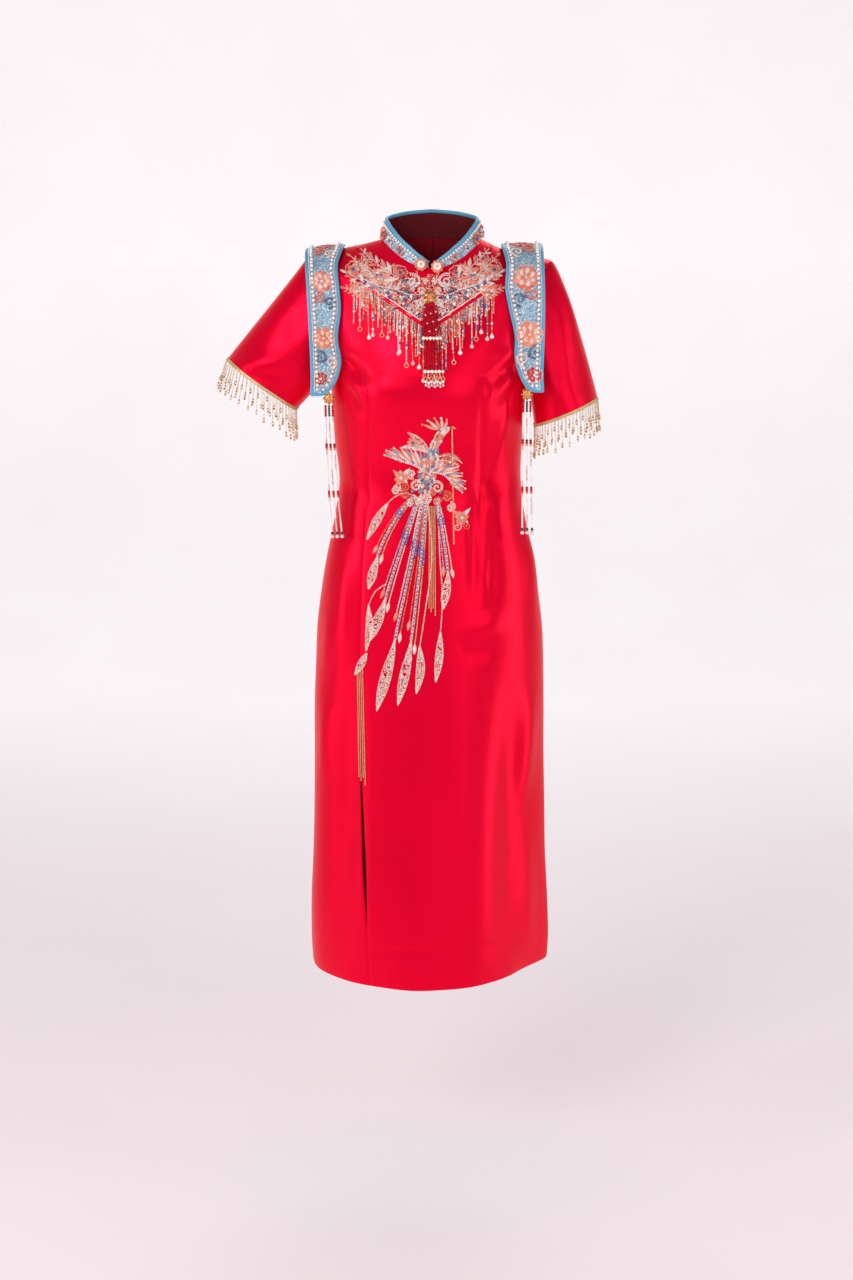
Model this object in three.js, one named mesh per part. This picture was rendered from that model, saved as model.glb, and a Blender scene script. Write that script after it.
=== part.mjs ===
// A red satin wedding dress with a stand collar, a beaded yoke, two stiff shoulder panels and short
// flared sleeves, held in the hollow form in which it is worn.
// Millimetres, +Z up. The front faces -Y, and "left" is the side at -X.
// The origin is level with the base of the neck, midway between the shoulders.

import * as THREE from 'three';

// ---- driving dimensions -------------------------------------------------------------------------

const CLOTH = 1.6; // thickness of the satin with its lining
const SEAM = 0.3; // gap between two pieces at a seam
const LIFT = 0.5; // clearance below what is sewn onto a panel
const BEADWORK = 2.4; // thickness of bead embroidery
const STIFF = 2.6; // thickness of a shoulder panel
const BINDING_WIDTH = 5; // satin binding round a shoulder panel
const BINDING_THICK = 3.6;
const SLIT_TOP = -672; // height at which the side slit opens
const YOKE_POINT = -133; // height of the point of the yoke
const YOKE_SLOPE = 0.66; // rise of the yoke's edge for each millimetre sideways
const YOKE_REACH = { left: 122, right: 103 }; // how far the yoke reaches sideways
const YOKE_END = THREE.MathUtils.degToRad(7); // turn at which the yoke ends on each shoulder
const YOKE_INSET = 0.2; // share of a section's step between the neckline and the yoke
const YOKE_LIFT = 0.9;
const YOKE_COLUMNS = 18;
const YOKE_ROWS = 5;
const FRINGE_COLUMNS = 8;
const FRINGE_ROWS = 4;
const FRINGE_THICK = 2.2;
const FRINGE_LIFT = 1.3;
const CHAIN_THICK = 1.4;
const TASSEL_THICK = 4;
const FRINGE_END = 4; // from the yoke's end to the fringe's
const FRINGE_DROP = 1.5; // from the yoke's edge down to its fringe
const SLEEVE_FRINGE = 50; // length of the fringe at a cuff
const BRAID_PROUD = { top: 1, end: 1.5 }; // how far the braid stands out of the cuff
const BRAID_THICK = 2.6;
const FRINGE_TUCK = 0.2; // from the braid's face in to the fringe's
const BRAID = 5; // width of the braid at a cuff
const BUTTON_RADIUS = 9;
const DISK_RADIUS = 10;
const MEDALLION_RADIUS = 9.5;
const STRAND_RADIUS = 2.4;

// Cross sections from the hem up to the neck. side, front and back are heights; half is half the
// width and shift its middle; fore and aft are depths from the middle plane; flat flattens the front,
// left and right sharpen the front's corners, from 0.5 for an ellipse to 1 for a crease; droop lowers
// the right shoulder.
const SECTIONS = [
  {
    side: -1127, front: -1134, back: -1124, half: 186, shift: -2, fore: 150, aft: 122,
    flat: 2.2, left: 0.56, right: 1.0, droop: 0,
  },
  {
    side: -1087, front: -1092, back: -1086, half: 188, shift: -2, fore: 148, aft: 121,
    flat: 2.2, left: 0.55, right: 0.97, droop: 0,
  },
  {
    side: -1018, front: -1018, back: -1018, half: 186.5, shift: -3, fore: 143, aft: 120,
    flat: 2.2, left: 0.54, right: 0.92, droop: 0,
  },
  {
    side: -951, front: -951, back: -951, half: 183, shift: -3, fore: 137, aft: 119,
    flat: 2.2, left: 0.53, right: 0.86, droop: 0,
  },
  {
    side: -870, front: -870, back: -870, half: 181, shift: -2, fore: 130, aft: 118,
    flat: 2.2, left: 0.52, right: 0.8, droop: 0,
  },
  {
    side: -790, front: -790, back: -790, half: 179.5, shift: -1.5, fore: 124, aft: 118,
    flat: 2.2, left: 0.5, right: 0.73, droop: 0,
  },
  {
    side: -715, front: -715, back: -715, half: 179, shift: -1, fore: 119, aft: 118,
    flat: 2.2, left: 0.5, right: 0.66, droop: 0,
  },
  {
    side: -645, front: -645, back: -645, half: 177, shift: 0, fore: 115, aft: 119,
    flat: 2.2, left: 0.5, right: 0.6, droop: 0,
  },
  {
    side: -590, front: -590, back: -590, half: 174.5, shift: 0, fore: 112, aft: 119,
    flat: 2.2, left: 0.5, right: 0.56, droop: 0,
  },
  {
    side: -540, front: -540, back: -540, half: 168.5, shift: 0, fore: 108, aft: 117,
    flat: 2.2, left: 0.5, right: 0.53, droop: 0,
  },
  {
    side: -487, front: -487, back: -487, half: 160.5, shift: 0.5, fore: 104, aft: 110,
    flat: 2.2, left: 0.5, right: 0.5, droop: 0,
  },
  {
    side: -426, front: -426, back: -426, half: 147.5, shift: 0, fore: 98, aft: 99,
    flat: 2.2, left: 0.5, right: 0.5, droop: 0,
  },
  {
    side: -364, front: -364, back: -364, half: 139.5, shift: 0.5, fore: 94, aft: 89,
    flat: 2.2, left: 0.5, right: 0.5, droop: 0,
  },
  {
    side: -306, front: -306, back: -306, half: 143, shift: -2, fore: 103, aft: 90,
    flat: 2.3, left: 0.5, right: 0.5, droop: 0,
  },
  {
    side: -266, front: -266, back: -266, half: 146, shift: -2, fore: 115, aft: 94,
    flat: 2.4, left: 0.5, right: 0.5, droop: 0,
  },
  {
    side: -230, front: -230, back: -230, half: 148, shift: -2, fore: 122, aft: 98,
    flat: 2.4, left: 0.5, right: 0.5, droop: 0,
  },
  {
    side: -202, front: -200, back: -202, half: 150, shift: -1, fore: 120, aft: 101,
    flat: 2.4, left: 0.5, right: 0.5, droop: 0,
  },
  {
    side: -160, front: -172, back: -165, half: 158, shift: 0, fore: 114, aft: 104,
    flat: 2.3, left: 0.5, right: 0.5, droop: 0,
  },
  {
    side: -115, front: -143, back: -128, half: 168, shift: 0, fore: 105, aft: 105,
    flat: 2.2, left: 0.5, right: 0.5, droop: 0,
  },
  {
    side: -72, front: -116, back: -95, half: 177, shift: 0, fore: 95, aft: 103,
    flat: 2.1, left: 0.5, right: 0.5, droop: 0,
  },
  {
    side: -40, front: -94, back: -68, half: 184, shift: 0, fore: 87, aft: 97,
    flat: 2, left: 0.5, right: 0.5, droop: 2,
  },
  {
    side: -27, front: -80, back: -50, half: 184, shift: 0, fore: 82, aft: 90,
    flat: 2, left: 0.5, right: 0.5, droop: 5,
  },
  {
    side: -20, front: -68, back: -34, half: 158, shift: 1, fore: 77, aft: 80,
    flat: 2, left: 0.5, right: 0.5, droop: 7,
  },
  {
    side: -13, front: -58, back: -20, half: 130, shift: 2, fore: 73, aft: 71,
    flat: 2, left: 0.5, right: 0.5, droop: 8,
  },
  {
    side: -7, front: -50, back: -8, half: 102, shift: 3, fore: 70, aft: 62,
    flat: 2, left: 0.5, right: 0.5, droop: 6,
  },
  {
    side: 0, front: -42, back: 4, half: 75, shift: 3, fore: 66, aft: 55,
    flat: 2, left: 0.5, right: 0.5, droop: 0,
  },
];
const ARMPIT = 16; // number of the section at the armpit
const JOIN = 17; // where the slit seam runs into the armhole
const SHOULDER = 21; // at the shoulder's tip
const NECK = SECTIONS.length - 1;
const ARMHOLE_TURN = THREE.MathUtils.degToRad(29); // how far the armhole cuts round to the front

// The seam that ends in the slit: sideways place at each height.
const SLIT_SEAM = [
  { z: -1136, x: -92 },
  { z: -1002, x: -99 },
  { z: -828, x: -106 },
  { z: -688, x: -108 },
  { z: -476, x: -103 },
  { z: -377, x: -94 },
  { z: -229, x: -91 },
  { z: -200, x: -103 },
  { z: -172, x: -132 },
];

// How far the slit stands open at each height.
const SLIT_GAP = [
  { z: -1136, wide: 1.2 },
  { z: -1040, wide: 5 },
  { z: -950, wide: 7 },
  { z: -820, wide: 3 },
  { z: SLIT_TOP, wide: SEAM },
];

// Tips of the yoke's fringe: height at each distance from the middle.
const FRINGE_TIPS = [
  { x: 0, z: -212 },
  { x: 24, z: -199 },
  { x: 50, z: -166 },
  { x: 75, z: -148 },
  { x: 124, z: -139 },
];

// Run of a shoulder panel over the shoulder, from its front end to its back end, with the distances
// of its two long edges from the middle, for the left panel and for the right one.
const SHOULDER_RUN = [
  { y: -75, z: -229, leftIn: 161, leftOut: 178, rightIn: 157, rightOut: 169 },
  { y: -74.6, z: -222, leftIn: 150, leftOut: 178, rightIn: 144, rightOut: 169 },
  { y: -74, z: -205, leftIn: 138, leftOut: 178, rightIn: 134, rightOut: 169 },
  { y: -73, z: -178, leftIn: 132, leftOut: 179, rightIn: 126, rightOut: 170 },
  { y: -72.5, z: -145, leftIn: 137, leftOut: 180, rightIn: 126, rightOut: 171 },
  { y: -70.5, z: -105, leftIn: 132, leftOut: 182, rightIn: 117, rightOut: 172 },
  { y: -67, z: -72, leftIn: 134, leftOut: 184, rightIn: 111, rightOut: 172 },
  { y: -56, z: -38, leftIn: 137, leftOut: 186, rightIn: 113, rightOut: 171 },
  { y: -30, z: -14, leftIn: 130, leftOut: 188, rightIn: 108, rightOut: 171 },
  { y: 0, z: -7.5, leftIn: 127, leftOut: 188, rightIn: 107, rightOut: 171 },
  { y: 34, z: -12, leftIn: 130, leftOut: 188, rightIn: 108, rightOut: 171 },
  { y: 65, z: -33, leftIn: 137, leftOut: 186, rightIn: 113, rightOut: 171 },
  { y: 77, z: -68, leftIn: 134, leftOut: 184, rightIn: 111, rightOut: 172 },
  { y: 80, z: -105, leftIn: 132, leftOut: 182, rightIn: 117, rightOut: 172 },
  { y: 80, z: -145, leftIn: 137, leftOut: 180, rightIn: 126, rightOut: 171 },
  { y: 80, z: -178, leftIn: 132, leftOut: 179, rightIn: 126, rightOut: 170 },
  { y: 79, z: -205, leftIn: 138, leftOut: 178, rightIn: 134, rightOut: 169 },
  { y: 78, z: -222, leftIn: 150, leftOut: 178, rightIn: 144, rightOut: 169 },
  { y: 78, z: -229, leftIn: 161, leftOut: 178, rightIn: 157, rightOut: 169 },
];
const SHOULDER_LENGTH = 560; // along a shoulder panel over the shoulder
// How each panel lies: its sign, stretch of the run front to back and in height, and sideways slope.
const SHOULDER_PANELS = {
  left: { sign: -1, deep: 1, tall: 1, slope: 7 },
  right: { sign: 1, deep: 1.092, tall: 0.975, slope: 0 },
};

// The two cuffs: how far the fringe swings out over the arm, the cuff's highest and lowest corner,
// its half depth, and how far the cap stands out above the straight line from armhole to cuff.
const CUFFS = {
  left: { flare: 17, high: [-306, -178], low: [-200, -254], y: 4, depth: 60, cap: [36, 42] },
  right: { flare: 4, high: [255, -237], low: [158.5, -278], y: 0, depth: 61, cap: [-12, 74] },
};

const SATIN = { color: 0xe0092f, roughness: 0.38, metalness: 0 };
const GLITTER = { color: 0x9aa9c0, roughness: 0.6, metalness: 0.2 };
const BLUE_SATIN = { color: 0x5b9db8, roughness: 0.4, metalness: 0 };
const CORAL_BEADS = { color: 0xd98a80, roughness: 0.4, metalness: 0.1 };
const GOLD = { color: 0xc9a24a, roughness: 0.3, metalness: 0.9 };
const PEARL = { color: 0xf1e2dc, roughness: 0.25, metalness: 0 };
const RED_BEADS = { color: 0xb5121f, roughness: 0.35, metalness: 0.1 };
const DARK_RED = { color: 0x7d0714, roughness: 0.7, metalness: 0 };
const BLUE_BEADS = { color: 0x6d8fb0, roughness: 0.35, metalness: 0.2 };

// ---- helpers ------------------------------------------------------------------------------------

const dress = new THREE.Group();
dress.name = 'wedding_dress';

const { lerp, clamp } = THREE.MathUtils;

/** Value of one column of a table whose rows run in order of another, on straight lines between. */
function look(table, key, at, column) {
  const rising = table[table.length - 1][key] > table[0][key];
  const rows = rising ? table : [...table].reverse();
  if (at <= rows[0][key]) {
    return rows[0][column];
  }
  for (let i = 1; i < rows.length; i += 1) {
    if (at <= rows[i][key]) {
      const part = (at - rows[i - 1][key]) / (rows[i][key] - rows[i - 1][key]);
      return lerp(rows[i - 1][column], rows[i][column], part);
    }
  }
  return rows[rows.length - 1][column];
}

/** Value of a column at a fractional row, on a smooth curve through the rows. */
function smooth(table, at, column) {
  const last = table.length - 1;
  const i = Math.min(Math.floor(clamp(at, 0, last)), last - 1);
  const t = clamp(at, 0, last) - i;
  const [a, b, c, d] = [-1, 0, 1, 2].map((step) => table[clamp(i + step, 0, last)][column]);
  return b + 0.5 * t * (c - a + t * (2 * a - 5 * b + 4 * c - d + t * (3 * (b - c) + d - a)));
}

/** Numbers from one value to another in equal steps, both ends included. */
function steps(from, to, count) {
  return Array.from({ length: count + 1 }, (_, i) => lerp(from, to, i / count));
}

/** Adds one named piece from corner points and triangles, turned so that its faces point out. */
function addPiece(name, points, faces, finish) {
  let volume = 0;
  for (const [a, b, c] of faces) {
    volume += points[a].dot(new THREE.Vector3().crossVectors(points[b], points[c]));
  }
  const turned = volume < 0 ? faces.map(([a, b, c]) => [a, c, b]) : faces;
  const geometry = new THREE.BufferGeometry().setFromPoints(points);
  geometry.setIndex(turned.flat());
  geometry.computeVertexNormals();
  const mesh = new THREE.Mesh(geometry, new THREE.MeshStandardMaterial(finish));
  mesh.name = name;
  dress.add(mesh);
  return mesh;
}

/** Adds a wall between two grids of points with equal rows and columns; a loop closes on itself. */
function addWall(name, outer, inner, finish, loop = false) {
  const rows = outer.length;
  const columns = outer[0].length;
  const points = [...outer.flat(), ...inner.flat()];
  const out = (r, c) => r * columns + (c % columns);
  const into = (r, c) => rows * columns + out(r, c);
  const faces = [];
  const quad = (a, b, c, d) => faces.push([a, b, c], [a, c, d]);
  const across = loop ? columns : columns - 1;
  for (let c = 0; c < across; c += 1) {
    for (let r = 0; r < rows - 1; r += 1) {
      quad(out(r, c), out(r, c + 1), out(r + 1, c + 1), out(r + 1, c));
      quad(into(r, c), into(r + 1, c), into(r + 1, c + 1), into(r, c + 1));
    }
    quad(out(0, c), into(0, c), into(0, c + 1), out(0, c + 1));
    quad(out(rows - 1, c), out(rows - 1, c + 1), into(rows - 1, c + 1), into(rows - 1, c));
  }
  for (let r = 0; r < rows - 1 && !loop; r += 1) {
    const end = columns - 1;
    quad(out(r, 0), out(r + 1, 0), into(r + 1, 0), into(r, 0));
    quad(out(r, end), into(r, end), into(r + 1, end), out(r + 1, end));
  }
  return addPiece(name, points, faces, finish);
}

/** Adds a solid with a closed skin round a row of loops of points, and flat ends. */
function addTube(name, loops, finish) {
  const sides = loops[0].length;
  const points = loops.flat();
  const last = points.length - sides;
  const faces = [];
  for (let r = 0; r < loops.length - 1; r += 1) {
    for (let c = 0; c < sides; c += 1) {
      const [a, b] = [r * sides + c, r * sides + ((c + 1) % sides)];
      faces.push([a, b, b + sides], [a, b + sides, a + sides]);
    }
  }
  for (let c = 1; c < sides - 1; c += 1) {
    faces.push([0, c + 1, c], [last, last + c, last + c + 1]);
  }
  return addPiece(name, points, faces, finish);
}

// ---- the body's surface -------------------------------------------------------------------------

/** Point of the dress's outer face. The turn is 0 at +X, a quarter at the front, a half at -X. */
function bodyPoint(turn, level) {
  const value = (column) => smooth(SECTIONS, level, column);
  const cos = Math.cos(turn);
  const sin = Math.sin(turn);
  const front = sin >= 0;
  const blend = sin * sin;
  const height = lerp(value('side'), value(front ? 'front' : 'back'), blend);
  const z = height - value('droop') * Math.max(0, cos);
  const x = value('shift') + value('half') * cos;
  if (!front) {
    return new THREE.Vector3(x, -value('aft') * sin, z);
  }
  const corner = value(cos < 0 ? 'left' : 'right');
  const depth = value('fore') * Math.max(0, 1 - Math.abs(cos) ** value('flat')) ** corner;
  return new THREE.Vector3(x, -depth, z);
}

/** Direction that points out of the dress at a place on it. */
function bodyNormal(turn, level) {
  const wide = 0.05;
  const round = bodyPoint(turn + wide, level).sub(bodyPoint(turn - wide, level));
  const above = Math.min(level + wide, NECK);
  const below = Math.max(level - wide, 0);
  const up = bodyPoint(turn, above).sub(bodyPoint(turn, below));
  return new THREE.Vector3().crossVectors(up, round).normalize();
}

/** How far the armhole cuts in from the side at a level. */
function armholeTurn(level) {
  const part = (level - ARMPIT) / (SHOULDER - ARMPIT);
  return part > 0 && part < 1 ? ARMHOLE_TURN * Math.sin(Math.PI * part) ** 0.55 : 0;
}

/** Turn at which a level's section passes a sideways place, on the front. */
function turnAt(x, level) {
  const reach = (x - smooth(SECTIONS, level, 'shift')) / smooth(SECTIONS, level, 'half');
  return Math.acos(clamp(reach, -1, 1));
}

/** Turn of the seam that ends in the slit. */
function slitTurn(level) {
  let turn = Math.PI * 0.7;
  for (let i = 0; i < 6; i += 1) {
    turn = turnAt(look(SLIT_SEAM, 'z', bodyPoint(turn, level).z, 'x'), level);
  }
  return turn;
}

/** Turn that lies a given distance to one side of an edge, measured straight. */
function beside(turn, level, distance) {
  const edge = bodyPoint(turn, level);
  let offset = Math.sign(distance) * 0.01;
  for (let i = 0; i < 12; i += 1) {
    offset *= Math.abs(distance) / bodyPoint(turn + offset, level).distanceTo(edge);
  }
  return turn + offset;
}

/** Adds one panel between two edges, each with a turn and a gap at every level. */
function addPanel(name, levels, columns, edges) {
  const outer = [];
  const inner = [];
  for (const level of levels) {
    const [from, to] = [edges.from(level), edges.to(level)];
    const start = beside(from.turn, level, from.gap);
    const stop = beside(to.turn, level, -to.gap);
    const turns = steps(start, stop, columns);
    const normals = turns.map((turn) => bodyNormal(turn, level));
    normals[0] = bodyNormal(from.turn, level);
    normals[columns] = bodyNormal(to.turn, level);
    outer.push(turns.map((turn) => bodyPoint(turn, level)));
    inner.push(outer.at(-1).map((point, c) => point.clone().addScaledVector(normals[c], -CLOTH)));
  }
  return addWall(name, outer, inner, SATIN);
}

const HALF_SEAM = SEAM / 2;
const seamEdge = (turn) => ({ turn, gap: HALF_SEAM });

/** Gap on each side of the slit seam at a level. */
function slitEdge(level) {
  const turn = slitTurn(level);
  return { turn, gap: look(SLIT_GAP, 'z', bodyPoint(turn, level).z, 'wide') / 2 };
}

const allLevels = steps(0, NECK, NECK);
const sideLevels = steps(0, JOIN, JOIN);

const frontMain = addPanel('front_main', allLevels, 14, {
  from: (level) => seamEdge(armholeTurn(level)),
  to: (level) => (level <= JOIN ? slitEdge(level) : seamEdge(Math.PI - armholeTurn(level))),
});

addPanel('front_side_left', sideLevels, 4, {
  from: slitEdge,
  to: (level) => seamEdge(Math.PI - armholeTurn(level)),
});

for (const side of ['left', 'right']) {
  const left = side === 'left';
  addPanel(`back_${side}`, allLevels, 8, {
    from: (level) => seamEdge(left ? Math.PI + armholeTurn(level) : Math.PI * 1.5),
    to: (level) => seamEdge(left ? Math.PI * 1.5 : Math.PI * 2 - armholeTurn(level)),
  });
}

// ---- sleeves ------------------------------------------------------------------------------------

const SLEEVE_COLUMNS = 16;
const SLEEVE_ROWS = 5;
const ARMHOLE_EASE = 0.85; // how far outside the armhole's edge a sleeve starts

/** Sizes of one sleeve: its side's sign, its cuff's middle, and the cuff's half width as a vector. */
function sleeveFrame(side) {
  const { flare, high, low, y, depth, cap } = CUFFS[side];
  const top = new THREE.Vector3(high[0], y, high[1]);
  const bottom = new THREE.Vector3(low[0], y, low[1]);
  const middle = top.clone().add(bottom).multiplyScalar(0.5);
  const arm = top.clone().sub(middle);
  const sign = side === 'left' ? -1 : 1;
  return { sign, flare, middle, arm, depth, cap: new THREE.Vector3(cap[0], 0, cap[1]) };
}

/** Point on a sleeve: round is 0 at the top and a quarter turn at the front; along is 0 to 1. */
function sleevePoint(frame, round, along) {
  const level = lerp(ARMPIT, SHOULDER, (1 + Math.cos(round)) / 2);
  const cut = armholeTurn(level) * (Math.sin(round) >= 0 ? 1 : -1);
  const start = bodyPoint(frame.sign < 0 ? Math.PI - cut : cut, level);
  start.x += frame.sign * ARMHOLE_EASE;
  const end = frame.middle.clone().addScaledVector(frame.arm, Math.cos(round));
  end.y -= frame.depth * Math.sin(round);
  const rise = ((1 + Math.cos(round)) / 2) ** 1.5;
  const pull = start.clone().add(end).multiplyScalar(0.5).addScaledVector(frame.cap, rise);
  return new THREE.QuadraticBezierCurve3(start, pull, end).getPoint(along);
}

/** Moves each point of a loop of points towards the loop's middle. */
function shrink(loop, distance) {
  const middle = loop.reduce((sum, point) => sum.add(point), new THREE.Vector3());
  middle.divideScalar(loop.length);
  return loop.map((point, i) => {
    const before = loop[(i + loop.length - 1) % loop.length];
    const after = loop[(i + 1) % loop.length];
    const along = after.clone().sub(before).normalize();
    const inward = middle.clone().sub(point);
    inward.addScaledVector(along, -inward.dot(along)).normalize();
    return point.clone().addScaledVector(inward, distance);
  });
}

/** The cuff's loop of points, moved along the sleeve past its end and outwards. */
function cuffLoop(frame, past, out) {
  const axis = new THREE.Vector3(-frame.arm.z, 0, frame.arm.x).normalize();
  axis.multiplyScalar(axis.z > 0 ? -past : past);
  const loop = steps(0, Math.PI * 2, SLEEVE_COLUMNS).slice(0, -1)
    .map((round) => sleevePoint(frame, round, 1).add(axis));
  return shrink(loop, -out);
}

for (const side of ['left', 'right']) {
  const frame = sleeveFrame(side);
  const rounds = steps(0, Math.PI * 2, SLEEVE_COLUMNS).slice(0, -1);
  const outer = steps(0, 1, SLEEVE_ROWS)
    .map((along) => rounds.map((round) => sleevePoint(frame, round, along)));
  addWall(`sleeve_${side}`, outer, outer.map((loop) => shrink(loop, CLOTH)), SATIN, true);

  // The braid goes on past the sleeve's edge, and the fringe hangs straight down from the braid.
  const braidTop = cuffLoop(frame, SEAM, BRAID_PROUD.top);
  const braidEnd = cuffLoop(frame, SEAM + BRAID, BRAID_PROUD.end);
  addWall(
    `sleeve_braid_${side}`,
    [braidTop, braidEnd],
    [shrink(braidTop, BRAID_THICK), shrink(braidEnd, BRAID_THICK)],
    GOLD,
    true,
  );
  const drop = (loop, length) => loop.map(({ x, y, z }, i) => {
    const swing = (Math.max(0, Math.cos(rounds[i])) * frame.flare * length) / SLEEVE_FRINGE;
    return new THREE.Vector3(x + frame.sign * swing, y, z - length);
  });
  const hung = shrink(braidEnd, FRINGE_TUCK);
  const inside = shrink(braidEnd, FRINGE_TUCK + FRINGE_THICK);
  addWall(
    `sleeve_fringe_${side}`,
    [drop(hung, SEAM), drop(hung, SLEEVE_FRINGE)],
    [drop(inside, SEAM), drop(inside, SLEEVE_FRINGE)],
    GOLD,
    true,
  );
}

// ---- collar -------------------------------------------------------------------------------------

const COLLAR_COLUMNS = 28;
const COLLAR_WALL = 2.2;
const LINING_WALL = 1;
const COLLAR_TOP = { half: 68, fore: 58, aft: 48, shift: 3.5 };
const COLLAR_BIND = 5; // height of the binding along the collar's edge

// Height of the collar above the neckline at each part of the way from the front to the back.
const COLLAR_HEIGHTS = [
  { part: 0, tall: 9 },
  { part: 0.05, tall: 15 },
  { part: 0.14, tall: 22 },
  { part: 0.3, tall: 27 },
  { part: 0.55, tall: 33 },
  { part: 0.8, tall: 38 },
  { part: 1, tall: 40 },
];
const COLLAR_OPENING = 0.07; // half of the turn that the collar's ends leave open

/** Point of the collar: round is 0 to 1 from end to end, up is 0 at the neckline, 1 at the rim. */
function collarPoint(round, up, inwards) {
  const turn = lerp(Math.PI / 2 + COLLAR_OPENING, Math.PI * 2.5 - COLLAR_OPENING, round);
  const part = 1 - Math.abs(2 * round - 1);
  const tallest = COLLAR_HEIGHTS.at(-1).tall;
  const base = bodyPoint(turn, NECK);
  const rimX = COLLAR_TOP.shift + COLLAR_TOP.half * Math.cos(turn);
  const rim = new THREE.Vector3(rimX, 0, base.z + tallest);
  rim.y = -Math.sin(turn) * (base.y < 0 ? COLLAR_TOP.fore : COLLAR_TOP.aft);
  const point = base.lerp(rim, (up * look(COLLAR_HEIGHTS, 'part', part, 'tall')) / tallest);
  point.x -= inwards * Math.cos(turn);
  point.y += inwards * Math.sin(turn);
  point.z += LIFT;
  return point;
}

/** Adds a strip of the collar from one height to another, of a given depth and thickness. */
function addCollar(name, low, high, depth, thick, finish) {
  const grid = (inwards) => [low, high]
    .map((up) => steps(0, 1, COLLAR_COLUMNS).map((round) => collarPoint(round, up(round), inwards)));
  return addWall(name, grid(depth), grid(depth + thick), finish);
}

/** Share of the collar's height that is left below its binding. */
function belowBinding(round) {
  const tall = look(COLLAR_HEIGHTS, 'part', 1 - Math.abs(2 * round - 1), 'tall');
  return (tall - COLLAR_BIND - LIFT) / tall;
}

/** Share of the collar's height at which its binding starts. */
function bindingFoot(round) {
  const tall = look(COLLAR_HEIGHTS, 'part', 1 - Math.abs(2 * round - 1), 'tall');
  return (tall - COLLAR_BIND) / tall;
}

const COLLAR_BIND_WALL = COLLAR_WALL + SEAM + LINING_WALL;
addCollar('collar_band', () => 0, belowBinding, 0, COLLAR_WALL, GLITTER);
addCollar('collar_lining', () => 0, belowBinding, COLLAR_WALL + SEAM, LINING_WALL, DARK_RED);
addCollar('collar_binding', bindingFoot, () => 1, 0, COLLAR_BIND_WALL, BLUE_SATIN);

// ---- shoulder panels ----------------------------------------------------------------------------

const PANEL_ACROSS = 3;
const PANEL_STEPS = 22;
const NEAR = 0.01; // share of the run over which its direction is taken

/** Value of a column of the shoulder panel's run, smooth, at a share of the run. */
const onRun = (share, column) => smooth(SHOULDER_RUN, share * (SHOULDER_RUN.length - 1), column);

/** Point of a shoulder panel's outer face, or below it by a depth. */
function shoulderPoint(side, share, across, depth) {
  const { sign, deep, tall, slope } = SHOULDER_PANELS[side];
  const at = (part) => [onRun(part, 'y') * deep, onRun(part, 'z') * tall];
  const [y, z] = at(share);
  const [yBefore, zBefore] = at(clamp(share - NEAR, 0, 1));
  const [yAfter, zAfter] = at(clamp(share + NEAR, 0, 1));
  const out = new THREE.Vector3(0, zBefore - zAfter, yAfter - yBefore).normalize();
  const x = sign * lerp(onRun(share, `${side}In`), onRun(share, `${side}Out`), across);
  const lowered = slope * across * Math.max(0, out.z);
  return new THREE.Vector3(x, y, z - lowered).addScaledVector(out, -depth);
}

/** A panel's outline, inset by a distance, as shares of the run and across it. */
function panelOutline(side, inset) {
  const end = inset / SHOULDER_LENGTH;
  return steps(end, 1 - end, PANEL_STEPS).map((share) => {
    const wide = onRun(share, `${side}Out`) - onRun(share, `${side}In`);
    return { share, from: inset / wide, to: 1 - inset / wide };
  });
}

for (const side of ['left', 'right']) {
  const rows = panelOutline(side, BINDING_WIDTH + SEAM * 2);
  const face = (depth) => rows.map(({ share, from, to }) => steps(from, to, PANEL_ACROSS)
    .map((across) => shoulderPoint(side, share, across, depth)));
  addWall(`shoulder_panel_${side}`, face(0), face(STIFF), GLITTER);

  const ring = (inset, depth) => {
    const edge = panelOutline(side, inset);
    const there = edge.map(({ share, from }) => shoulderPoint(side, share, from, depth));
    const back = edge.map(({ share, to }) => shoulderPoint(side, share, to, depth)).reverse();
    return [...there, ...back];
  };
  const proud = (STIFF - BINDING_THICK) / 2;
  addWall(
    `shoulder_binding_${side}`,
    [ring(0, proud), ring(BINDING_WIDTH, proud)],
    [ring(0, proud + BINDING_THICK), ring(BINDING_WIDTH, proud + BINDING_THICK)],
    BLUE_SATIN,
    true,
  );
}

// ---- beadwork on the front ----------------------------------------------------------------------

/** Point of the front panel between its rows, and the direction out of it. */
function onPanel(turn, level) {
  const row = Math.min(Math.floor(level), NECK - 1);
  const point = bodyPoint(turn, row).lerp(bodyPoint(turn, row + 1), level - row);
  return { point, normal: bodyNormal(turn, level) };
}

const HALVINGS = 26; // steps in which a level is closed in on

/** Highest level at which a test of the panel's point fails, between two levels. */
function findLevel(turnFor, test) {
  let [low, high] = [0, NECK];
  for (let i = 0; i < HALVINGS; i += 1) {
    const middle = (low + high) / 2;
    if (test(onPanel(turnFor(middle), middle).point)) {
      high = middle;
    } else {
      low = middle;
    }
  }
  return high;
}

/** Point of the front at a sideways place and height, moved out by a distance. */
function frontPoint(x, z, out) {
  const turnFor = (level) => turnAt(x, level);
  const level = findLevel(turnFor, (point) => point.z > z);
  const { point, normal } = onPanel(turnFor(level), level);
  return point.addScaledVector(normal, out);
}

/** Adds a patch on the front from a grid of sideways places and heights. */
function addPatch(name, grid, thick, finish, lift = LIFT) {
  const face = (out) => grid.map((row) => row.map(([x, z]) => frontPoint(x, z, out)));
  return addWall(name, face(lift + thick), face(lift), finish);
}

/** Height of the yoke's lower edge. */
const yokeEdge = (x) => YOKE_POINT + YOKE_SLOPE * Math.abs(x);

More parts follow.
